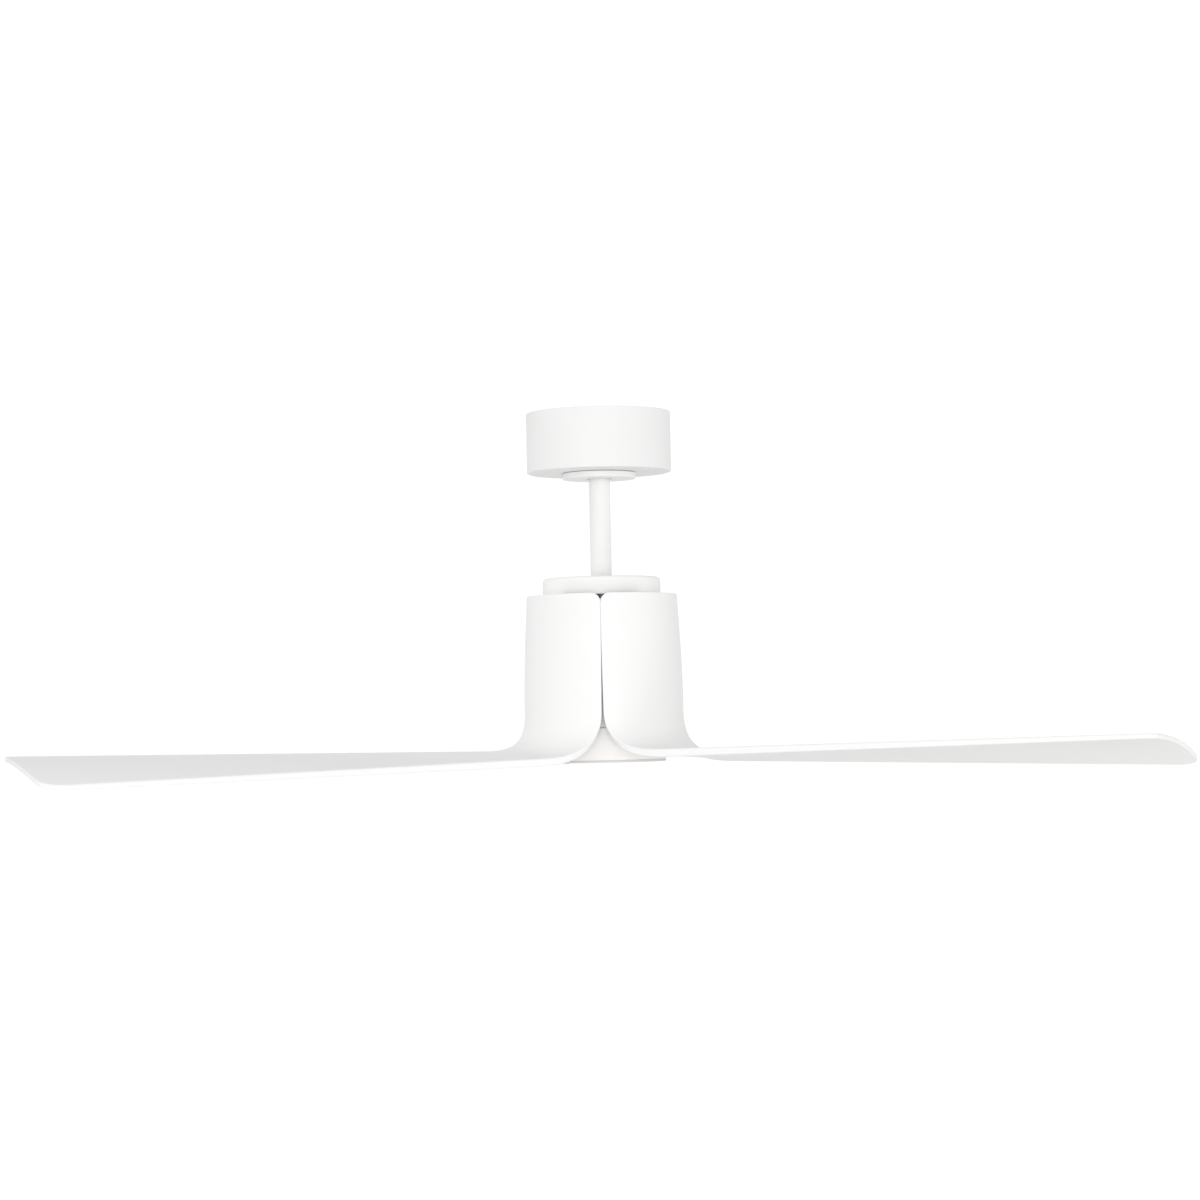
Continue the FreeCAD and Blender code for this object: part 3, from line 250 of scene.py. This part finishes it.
def lathe_mesh(profile, segments=192):
    """Closed outline (r, z) in mm turned about Z. Points on the axis become single points."""
    verts, rings = [], []
    for r, z in profile:
        if r < 1e-6:
            rings.append([len(verts)])
            verts.append((0.0, 0.0, z * MM))
        else:
            base = len(verts)
            for k in range(segments):
                t = 2 * math.pi * k / segments
                verts.append((r * math.cos(t) * MM, r * math.sin(t) * MM, z * MM))
            rings.append(list(range(base, base + segments)))
    faces, n = [], len(rings)
    for i in range(n):
        a, b = rings[i], rings[(i + 1) % n]
        if len(a) == 1 and len(b) == 1:
            continue
        for k in range(segments):
            k2 = (k + 1) % segments
            if len(a) == 1:
                faces.append((a[0], b[k2], b[k]))
            elif len(b) == 1:
                faces.append((a[k], a[k2], b[0]))
            else:
                faces.append((a[k], a[k2], b[k2], b[k]))
    return verts, faces


def area2(profile):
    return sum(a[0] * b[1] - b[0] * a[1] for a, b in zip(profile, profile[1:] + profile[:1]))


def lathe(name, points, body, slot, stands_for=(), segments=192, steps=5, look=None):
    prof = rounded(points, steps)
    if area2(prof) > 0:          # clockwise outline gives faces that look outward
        prof = prof[::-1]
    v, f = lathe_mesh(prof, segments)
    return make(name, v, f, body, slot, stands_for, look=look)


# ------------------------------------------------------------------ blade moulding
SWEEP, RT, RB = 653.4, 81.2, 85.8
Z_TOP, Z_FL, U_FL, POWER = -198.4, -320.0, 115.0, 2.6
SEAM_TOP, SEAM_LOW = 0.12, 1.9
TIP_HALF = 61.0
ROOT_HIGH, TIP_HIGH, ROOT_LOW, TIP_LOW = 364.4, 356.7, 371.8, 385.3
CAMBER_ROOT, CAMBER_TIP = 2.0, 5.5
T_PETAL, T_ROOT, T_TIP = 5.0, 8.6, 5.0
C_HIGH, C_LOW, C_PETAL, CROWN = 8.0, 22.9, 10.0, 340.0


def edge_angle(radius, share):
    # the petals nearly touch at the top and part lower down
    half = (SEAM_TOP + (SEAM_LOW - SEAM_TOP) * np.asarray(share, float) ** 2.5) / 2
    return math.radians(60) - np.arcsin(half / radius)


PHI_FL = float(edge_angle(RB, 1.0))
U_EDGE, V_EDGE = RB * math.cos(PHI_FL), RB * math.sin(PHI_FL)
TAPER = (1 - TIP_HALF / V_EDGE) / (SWEEP - U_EDGE)


def blade_height(u, q):
    t = (u - 110.0) / 545.0
    high = -(ROOT_HIGH + (TIP_HIGH - ROOT_HIGH) * t)
    low = -(ROOT_LOW + (TIP_LOW - ROOT_LOW) * t)
    camber = CAMBER_ROOT + (CAMBER_TIP - CAMBER_ROOT) * np.maximum(0.0, t)
    return (high + low) / 2 - q * (high - low) / 2 + camber * (1 - q * q)


def outer(w, s):
    """Points of the outer skin, w across (-1 high edge, +1 low edge), s along (0 top, 1 flare, 2 blade, 3 tip)."""
    w, s = np.broadcast_arrays(np.asarray(w, float), np.asarray(s, float))
    sp = np.clip(s, 0, 1)
    z1 = Z_TOP + (Z_FL - Z_TOP) * s
    r1 = RT + (RB - RT) * np.sin(np.pi / 2 * sp)
    a1 = w * edge_angle(r1, sp)
    x1, y1 = r1 * np.cos(a1), r1 * np.sin(a1)
    a = w * PHI_FL
    u0, v0 = RB * np.cos(a), RB * np.sin(a)
    th = np.clip(s - 1, 0, 1) * np.pi / 2
    g = 1 - np.maximum(np.cos(th), 0) ** (2 / POWER)
    f = np.maximum(np.sin(th), 0) ** (2 / POWER)
    u = np.where(s < 2, u0 + (U_FL - u0) * g, U_FL + (SWEEP - U_FL) * (s - 2))
    f = np.where(s < 2, f, 1.0)
    v = v0 * (1 - TAPER * (u - u0))
    q = v / (V_EDGE * (1 - TAPER * (u - U_EDGE)))
    z2 = Z_FL - (Z_FL - blade_height(u, q)) * f
    flat = s <= 1
    return np.stack([np.where(flat, x1, u), np.where(flat, y1, v), np.where(flat, z1, z2)], -1)


def thick(s):
    return np.where(s <= 1, T_PETAL, np.where(s < 2, T_PETAL + (T_ROOT - T_PETAL) * (s - 1),
                                              T_ROOT + (T_TIP - T_ROOT) * (s - 2)))


def unit(v):
    return v / np.linalg.norm(v, axis=-1, keepdims=True)


def local(w, s):
    """Across, along and inward directions at (w, s)."""
    h = 0.01
    dw = outer(np.minimum(1, w + h), s) - outer(np.maximum(-1, w - h), s)
    ds = outer(w, s + h) - outer(w, np.maximum(0, s - h))
    n = unit(np.cross(dw, ds))
    inward = n if float(n[..., 0].ravel()[0]) < 0 else -n
    # the petal's outward normal points away from the axis; inward is the other way
    probe = np.cross(outer(0.01, 0.5) - outer(-0.01, 0.5), outer(0.0, 0.51) - outer(0.0, 0.49))
    inward = -n if probe[0] > 0 else n
    share = np.clip((s - 1.7) / 0.5, 0, 1)
    share = (share * share * (3 - 2 * share))[..., None]
    m = unit(inward * (1 - share) + np.array([0, 0, -1.0]) * share)
    return unit(dw), unit(ds), m


def half_width(s):
    """Half the width of the skin across at s, in mm, measured along it."""
    sp = np.clip(s, 0, 1)
    r1 = RT + (RB - RT) * np.sin(np.pi / 2 * sp)
    u = np.where(s < 2, U_EDGE + (U_FL - U_EDGE) * (1 - np.maximum(np.cos(np.clip(s - 1, 0, 1) * np.pi / 2), 0) ** (2 / POWER)),
                 U_FL + (SWEEP - U_FL) * (s - 2))
    flat = V_EDGE * (1 - TAPER * (u - U_EDGE))
    round_ = r1 * edge_angle(r1, sp)
    t = np.clip(s - 1, 0, 1)
    return np.where(s <= 1, round_, round_ * (1 - t) + flat * t)


def rim(s):
    """Radius of the rounded outer rim: small beside the seams, larger along the blade."""
    s = np.asarray(s, float)
    a, t = np.clip((s - 0.25) / 0.5, 0, 1), np.clip((s - 1.0) / 0.9, 0, 1)
    return 0.4 + 0.3 * a * a * (3 - 2 * a) + 1.1 * t * t * (3 - 2 * t)


def blade_mesh(cols=56):
    """Closed skin with rounded rim: outer grid, inner grid and rim rings."""
    e_top, e_tip = float(rim(0)), float(rim(3))
    L_TOP, L_TIP = abs(Z_FL - Z_TOP), SWEEP - U_FL
    top = [(C_PETAL - e_top) * (1 - math.cos(math.pi / 2 * k / 10)) for k in range(11)]
    tip = [(C_LOW - e_tip) * (1 - math.cos(math.pi / 2 * k / 16)) for k in range(17)]
    rows = [(e_top + y) / L_TOP for y in top]
    s0, s1 = rows[-1], 3 - (e_tip + tip[-1]) / L_TIP
    rows += list(np.linspace(s0, 1.0, 26)[1:-1]) + list(1 + np.linspace(0, 1, 52)[:-1]) + list(np.linspace(2.0, s1, 90)[:-1])
    rows += [3 - (e_tip + y) / L_TIP for y in tip[::-1]]
    S = np.array(rows)
    E = rim(S)
    HW = half_width(S)
    lo, hi = -(HW - E), HW - E
    lat_lo, lat_hi = np.zeros_like(S), np.zeros_like(S)
    for i, s in enumerate(S):
        y0, y1 = s * L_TOP - e_top, (3 - s) * L_TIP - e_tip
        r = C_PETAL - e_top
        if y0 < r - 1e-9:
            gone = r - math.sqrt(max(0.0, r * r - (r - y0) ** 2))
            lo[i] += gone
            hi[i] -= gone
            lat_lo[i] = lat_hi[i] = -(r - y0) / r
        for r, side in ((C_HIGH - e_tip, 0), (C_LOW - e_tip, 1)):
            if y1 < r - 1e-9:
                gone = r - math.sqrt(max(0.0, r * r - (r - y1) ** 2))
                if side == 0:
                    lo[i] += gone
                    lat_lo[i] = (r - y1) / r
                else:
                    hi[i] -= gone
                    lat_hi[i] = (r - y1) / r
    # columns sit closer together near the two long edges
    c = np.linspace(-1, 1, cols)
    c = np.sin(c * math.pi / 2 * 0.92) / math.sin(math.pi / 2 * 0.92)
    W = (lo[:, None] + (hi - lo)[:, None] * (c[None] + 1) / 2) / HW[:, None]
    SS = np.repeat(S[:, None], cols, 1)
    # the end line is slightly crowned
    lean_in = np.clip((SS - 2.75) / 0.25, 0, 1) ** 2
    SS = SS - lean_in * (CROWN - np.sqrt(CROWN ** 2 - (W * TIP_HALF) ** 2)) / L_TIP
    P = outer(W, SS)
    dw, ds, m = local(W, SS)
    Q = P + m * thick(SS)[..., None]
    nr, nc = len(S), cols
    verts, faces = [P.reshape(-1, 3), Q.reshape(-1, 3)], []
    idx, o = np.arange(nr * nc).reshape(nr, nc), nr * nc
    for i in range(nr - 1):
        for j in range(nc - 1):
            a, b, c2, d2 = idx[i, j], idx[i, j + 1], idx[i + 1, j + 1], idx[i + 1, j]
            faces.append((a, d2, c2, b))
            faces.append((a + o, b + o, c2 + o, d2 + o))
    loop = [(0, j) for j in range(nc)] + [(i, nc - 1) for i in range(1, nr)] + \
           [(nr - 1, j) for j in range(nc - 2, -1, -1)] + [(i, 0) for i in range(nr - 2, 0, -1)]
    across = unit(dw - (dw * ds).sum(-1, keepdims=True) * ds)   # square to the long edges
    along = unit(ds - (ds * dw).sum(-1, keepdims=True) * dw)    # square to the ends
    B = []
    for i, j in loop:
        k = side = 0.0
        if j == nc - 1:
            side, k = 1.0, lat_hi[i]
        elif j == 0:
            side, k = -1.0, lat_lo[i]
        if i == 0:
            k = -1.0
        elif i == nr - 1:
            k = 1.0
        flat = math.sqrt(max(0.0, 1 - k * k))
        B.append(across[i, j] * side * flat + along[i, j] * k)
    B = unit(np.array(B))
    M = np.array([m[i, j] for i, j in loop])
    PO, QI = np.array([P[i, j] for i, j in loop]), np.array([Q[i, j] for i, j in loop])
    R = np.array([E[i] for i, j in loop])[:, None]
    RI = R * 0.75
    rings, base, n = [np.array([idx[i, j] for i, j in loop])], 2 * nr * nc, len(loop)
    for k in range(1, 7):
        t = math.pi / 2 * k / 6
        verts.append(PO + B * R * math.sin(t) + M * R * (1 - math.cos(t)))
        rings.append(np.arange(base, base + n))
        base += n
    for k in range(4, 0, -1):
        t = math.pi / 2 * k / 4
        verts.append(QI + B * R * math.sin(t) - M * RI * (1 - math.cos(t)))
        rings.append(np.arange(base, base + n))
        base += n
    rings.append(np.array([idx[i, j] + o for i, j in loop]))
    for a, b in zip(rings, rings[1:]):
        for k in range(n):
            k2 = (k + 1) % n
            faces.append((a[k], a[k2], b[k2], b[k]))
    return np.concatenate(verts) * MM, faces


def fix_winding(ob):
    """Faces all look outward."""
    import bmesh
    bm = bmesh.new()
    bm.from_mesh(ob.data)
    bmesh.ops.recalc_face_normals(bm, faces=bm.faces)
    open_edges = sum(1 for e in bm.edges if not e.is_manifold)
    vol = bm.calc_volume(signed=True)
    if vol < 0:
        bmesh.ops.reverse_faces(bm, faces=bm.faces)
    bm.to_mesh(ob.data)
    bm.free()
    ob.data.update()
    return open_edges, vol


def raw(name, verts, faces):
    me = bpy.data.meshes.new(name)
    me.from_pydata([tuple(v) for v in verts], [], [tuple(int(i) for i in f) for f in faces])
    me.update()
    ob = bpy.data.objects.new(name, me)
    scene.collection.objects.link(ob)
    fix_winding(ob)
    return ob


def rod_between(a, b, r, n=48):
    """Closed round bar from a to b (mm), used to cut holes."""
    a, b = Vector(a) * MM, Vector(b) * MM
    u = (b - a).normalized()
    x = u.orthogonal().normalized()
    y = u.cross(x)
    ring = [x * math.cos(2 * math.pi * k / n) * r * MM + y * math.sin(2 * math.pi * k / n) * r * MM for k in range(n)]
    v = [a + q for q in ring] + [b + q for q in ring]
    f = [tuple(range(n))[::-1], tuple(range(n, 2 * n))] + [(k, (k + 1) % n, n + (k + 1) % n, n + k) for k in range(n)]
    return v, f


def wedge(r_in, r_out, z0, z1, mid, half, n=28):
    """Closed sector of a flat ring (mm, degrees)."""
    v = []
    for r, z in ((r_in, z0), (r_out, z0), (r_out, z1), (r_in, z1)):
        for k in range(n + 1):
            t = math.radians(mid - half + 2 * half * k / n)
            v.append((r * math.cos(t) * MM, r * math.sin(t) * MM, z * MM))
    m, f = n + 1, []
    for c in range(4):
        d2 = (c + 1) % 4
        for k in range(n):
            f.append((c * m + k, c * m + k + 1, d2 * m + k + 1, d2 * m + k))
    f.append((0, m, 2 * m, 3 * m))
    f.append((n, 3 * m + n, 2 * m + n, m + n))
    return v, f


def carve(ob, cutters):
    """Cut closed meshes out of a piece of this script, and keep the result as its mesh."""
    tools = []
    for k, (v, f) in enumerate(cutters):
        t = raw("cutter_%d" % k, v, f)
        m = ob.modifiers.new("cut_%d" % k, "BOOLEAN")
        m.operation, m.solver, m.object = "DIFFERENCE", "EXACT", t
        tools.append(t)
    keep = [m for m in ob.modifiers if m.type != "BOOLEAN"]
    state = [(m, m.show_viewport) for m in keep]
    for m in keep:
        m.show_viewport = False
    dg = bpy.context.evaluated_depsgraph_get()
    new = bpy.data.meshes.new_from_object(ob.evaluated_get(dg))
    for m, st in state:
        m.show_viewport = st
    for m in [m for m in ob.modifiers if m.type == "BOOLEAN"]:
        ob.modifiers.remove(m)
    old = ob.data
    ob.data = new
    bpy.data.meshes.remove(old)
    for t in tools:
        me = t.data
        bpy.data.objects.remove(t)
        bpy.data.meshes.remove(me)
    return ob


def crisp(ob, width, angle=35.0, segments=2):
    """Small rounded arrises on an edged piece."""
    for m in list(ob.modifiers):
        ob.modifiers.remove(m)
    b = ob.modifiers.new("arris", "BEVEL")
    b.width, b.segments, b.limit_method, b.angle_limit = width * MM, segments, "ANGLE", math.radians(angle)
    b.harden_normals = False
    w = ob.modifiers.new("normals", "WEIGHTED_NORMAL")
    w.keep_sharp = False
    return ob


bv, bf = blade_mesh()
UP_ANGLES = []
for node, angle in (("blade_1", 210), ("blade_2", 330), ("blade_3", 90)):
    t = math.radians(angle)
    rot = np.array([[math.cos(t), -math.sin(t), 0], [math.sin(t), math.cos(t), 0], [0, 0, 1]])
    ob = make(node + "_skin", bv @ rot.T, bf, "rotor", "blade_white", (node,))
    fix_winding(ob)
    for tag, r_out, z0, z1 in (("upper", 76.9, -204.0, -199.6), ("lower", 82.5, -345.4, -341.0)):
        v, f = wedge(52, r_out, z0, z1, angle, 22)
        tab = make("%s_%s_tab" % (node, tag), v, f, "rotor", "blade_white", (node,), weighted=False)
        fix_winding(tab)
        holes = []
        for side in (-12, 12):
            q = math.radians(angle + side)
            x, y = 57.2 * math.cos(q), 57.2 * math.sin(q)
            holes.append(rod_between((x, y, z0 - 2), (x, y, z1 + 2), 2.2))
        carve(tab, holes)
        crisp(tab, 0.35)
    # two webs under the flare, from the lower tab to the root
    for v0 in (-20.0, 17.0):
        w0 = math.asin((v0 + 1.5) / RB) / PHI_FL
        outline = [(69.5, -341.6)]
        for q in np.linspace(1.30, 1.92, 9):
            a = outer(w0, q)
            _, _, m0 = local(np.array([w0]), np.array([q]))
            b = a + m0[0] * float(thick(q)) * 0.5
            outline.append((float(b[0]), float(b[2])))
        outline.append((outline[-1][0], outline[-1][1] - 1.5))
        outline.append((69.5, -353.0))
        n = len(outline)
        pts = []
        for dv in (0.0, 3.0):
            for u, z in outline:
                pts.append(np.array([u, v0 + dv, z]) * MM @ rot.T)
        fc = [tuple(range(n)), tuple(range(2 * n - 1, n - 1, -1))] + [(k, n + k, n + (k + 1) % n, (k + 1) % n) for k in range(n)]
        web = make("%s_web_%d" % (node, 1 if v0 < 0 else 2), pts, fc, "rotor", "blade_white", (node,), weighted=False)
        fix_winding(web)
        crisp(web, 0.3)

# ------------------------------------------------------------------ turned pieces
# the canopy takes the darker copy of the white paint: painted shade
cup = lathe("canopy_cup", [
    (76.6, 0.0, 0.3), (78.2, 0.0, 0.6), (78.2, -65.0, 2.0), (29.0, -65.0, 0.4), (29.0, -63.4, 0.4), (76.6, -63.4, 1.4)],
    "ceiling", "painted_white", ("canopy",), steps=6, look=CANOPY_SHADED_WHITE)
carve(cup, [rod_between((x, 0, -67), (x, 0, -61), 2.2) for x in (-34, 34)])
# the ring takes a lighter copy of the white paint: painted light
lathe("canopy_ring_dish", [
    (38.0, -65.5, 0.5), (39.6, -65.5, 0.6), (39.6, -71.8, 1.0), (14.2, -71.8, 0.6), (14.2, -70.2, 0.4),
    (26.8, -70.2, 0.3), (26.8, -60.0, 0.3), (28.6, -60.0, 0.3), (29.6, -61.8, 0.2), (29.6, -63.0, 0.2), (28.6, -63.0, 0.2),
    (28.6, -70.2, 0.3), (38.0, -70.2, 0.4)],
    "ceiling", "painted_white", ("canopy_ring",), steps=4, look=RING_LIT_WHITE)
rod = lathe("rod_tube", [
    (9.4, -19.0, 0.3), (11.4, -19.0, 0.6), (11.4, -199.0, 0.6), (9.4, -199.0, 0.3)],
    "rod", "painted_white", ("downrod",), segments=128, steps=4)
carve(rod, [rod_between((0, -14, -38), (0, 14, -38), 3.0), rod_between((0, -14, -190.5), (0, 14, -190.5), 2.55)])
# the cap takes a lighter copy of the white paint: painted light against the shade it sits in
cap = lathe("cap_disc", [
    (12.3, -179.5, 0.5), (63.7, -179.5, 4.0), (63.7, -199.0, 0.6), (61.7, -199.0, 0.5), (61.7, -181.5, 2.0), (12.3, -181.5, 0.4)],
    "motor", "painted_white", ("top_cap",), steps=8, look=CAP_LIT_WHITE)
carve(cap, [rod_between((14.9 * math.cos(math.radians(a)), 14.9 * math.sin(math.radians(a)), -184),
                        (14.9 * math.cos(math.radians(a)), 14.9 * math.sin(math.radians(a)), -177), 1.5, 24) for a in (30, 150, 270)])
cover = lathe("cover_cup", [
    (0.0, -378.5), (64.7, -378.5, 0.3), (64.7, -375.9, 0.1), (66.0, -375.9, 0.3), (66.0, -341.4, 0.5), (64.0, -341.4, 0.4), (64.0, -376.5, 0.8), (0.0, -376.5)],
    "rotor", "cover_white", ("bottom_cover",), steps=6)
# a darker grey band set in the step at the cover's foot: painted shade along its lower edge
cover_edge = lathe("cover_edge", [
    (64.8, -378.4, 0.1), (65.9, -378.4, 0.5), (65.9, -376.0, 0.2), (64.8, -376.0, 0.1)],
    "rotor", "cover_white", ("bottom_cover",), steps=4, look=FOOT_BAND_PAINTED_SHADE)
carve(cover, [wedge(60, 70, -346.3, -338, k, 23.6) for k in (90, 210, 330)])
for k in (90, 210, 330):
    t = math.radians(k + 40)
    c, sn = math.cos(t), math.sin(t)
    # L-shaped hook with its nose inwards, on a foot against the skirt
    prof = [(65.0, -351.0), (65.0, -348.0), (61.4, -348.0), (61.4, -332.4), (59.2, -332.4), (57.2, -333.6), (57.2, -335.9), (59.2, -335.9), (59.2, -351.0)]
    pts = []
    for dv in (-4.0, 4.0):
        for r, z in prof:
            pts.append(((r * c - dv * sn) * MM, (r * sn + dv * c) * MM, z * MM))
    n = len(prof)
    fc = [tuple(range(n)), tuple(range(2 * n - 1, n - 1, -1))] + [(q, n + q, n + (q + 1) % n, (q + 1) % n) for q in range(n)]
    hook = make("cover_hook_%d" % (k // 110), pts, fc, "rotor", "cover_white", ("bottom_cover",), weighted=False)
    fix_winding(hook)
    crisp(hook, 0.3)

# ------------------------------------------------------------------ stage and light
def plane(name, size, z):
    me = bpy.data.meshes.new(name)
    n = 96
    me.from_pydata([(size * math.cos(2 * math.pi * k / n), size * math.sin(2 * math.pi * k / n), z) for k in range(n)],
                   [], [tuple(range(n))])
    ob = bpy.data.objects.new(name, me)
    scene.collection.objects.link(ob)
    return ob


floor = plane("floor", 14.6, -5.0)
fm, nt, p = new_material("pale_floor")
nt.links.new(ramp(nt, noise(nt, 1.2, 3.0), [(0.3, (0.90, 0.90, 0.895)), (0.7, (0.92, 0.92, 0.915))]), p.inputs["Base Color"])
p.inputs["Roughness"].default_value = 0.7
p.inputs["Specular IOR Level"].default_value = 0.2
floor.data.materials.append(fm)

world = bpy.data.worlds.new("studio")
scene.world = world
world.use_nodes = True
wt = world.node_tree
wt.nodes.clear()


def value(op, *given):
    m = wt.nodes.new("ShaderNodeMath")
    m.operation = op
    for k, v in enumerate(given):
        if isinstance(v, float):
            m.inputs[k].default_value = v
        else:
            wt.links.new(v, m.inputs[k])
    return m.outputs["Value"]


def step(source, a, b):
    """Smooth 0 to 1 as the source goes from a to b."""
    m = wt.nodes.new("ShaderNodeMapRange")
    m.interpolation_type = "SMOOTHSTEP"
    m.inputs["From Min"].default_value, m.inputs["From Max"].default_value = a, b
    wt.links.new(source, m.inputs["Value"])
    return m.outputs["Result"]


co = wt.nodes.new("ShaderNodeTexCoord")
sep = wt.nodes.new("ShaderNodeSeparateXYZ")
wt.links.new(co.outputs["Generated"], sep.inputs["Vector"])
behind = step(sep.outputs["Y"], -0.45, 0.45)
rightward = step(sep.outputs["X"], -0.3, 0.3)
level = value("SUBTRACT", 1.0, step(value("ABSOLUTE", sep.outputs["Z"]), 0.24, 0.5))
above = step(sep.outputs["Z"], 0.24, 0.5)


def quarters(front_left, front_right, back_left, back_right):
    """Brightness of a band of the studio, given for its four quarters and blended between them."""
    front = value("MULTIPLY_ADD", rightward, front_right - front_left, front_left)
    back = value("MULTIPLY_ADD", rightward, back_right - back_left, back_left)
    return value("MULTIPLY_ADD", behind, value("SUBTRACT", back, front), front)


# a white wall all round at eye height, and a softer ceiling
wall = value("MULTIPLY", level, quarters(0.82, 1.08, 1.04, 1.04))
ceiling = value("MULTIPLY", above, quarters(1.12, 0.38, 0.71, 0.84))
bg = wt.nodes.new("ShaderNodeBackground")
bg.inputs["Color"].default_value = (1.0, 1.0, 1.0, 1.0)
wo = wt.nodes.new("ShaderNodeOutputWorld")
wt.links.new(value("ADD", wall, ceiling), bg.inputs["Strength"])
wt.links.new(bg.outputs["Background"], wo.inputs["Surface"])


def area(name, at, to, size, power, color=(1, 1, 1)):
    l = bpy.data.lights.new(name, "AREA")
    l.shape = "DISK"
    l.size = size
    l.energy = power
    l.color = color
    ob = bpy.data.objects.new(name, l)
    ob.location = at
    ob.rotation_euler = (Vector(to) - Vector(at)).to_track_quat("-Z", "Y").to_euler()
    scene.collection.objects.link(ob)
    return ob


area("front", (0.0, -3.6, -0.35), (0, 0, -0.34), 2.2, 32.0)
area("low_right", (1.6, -1.7, -1.9), (0, 0, -0.34), 1.2, 7.0)
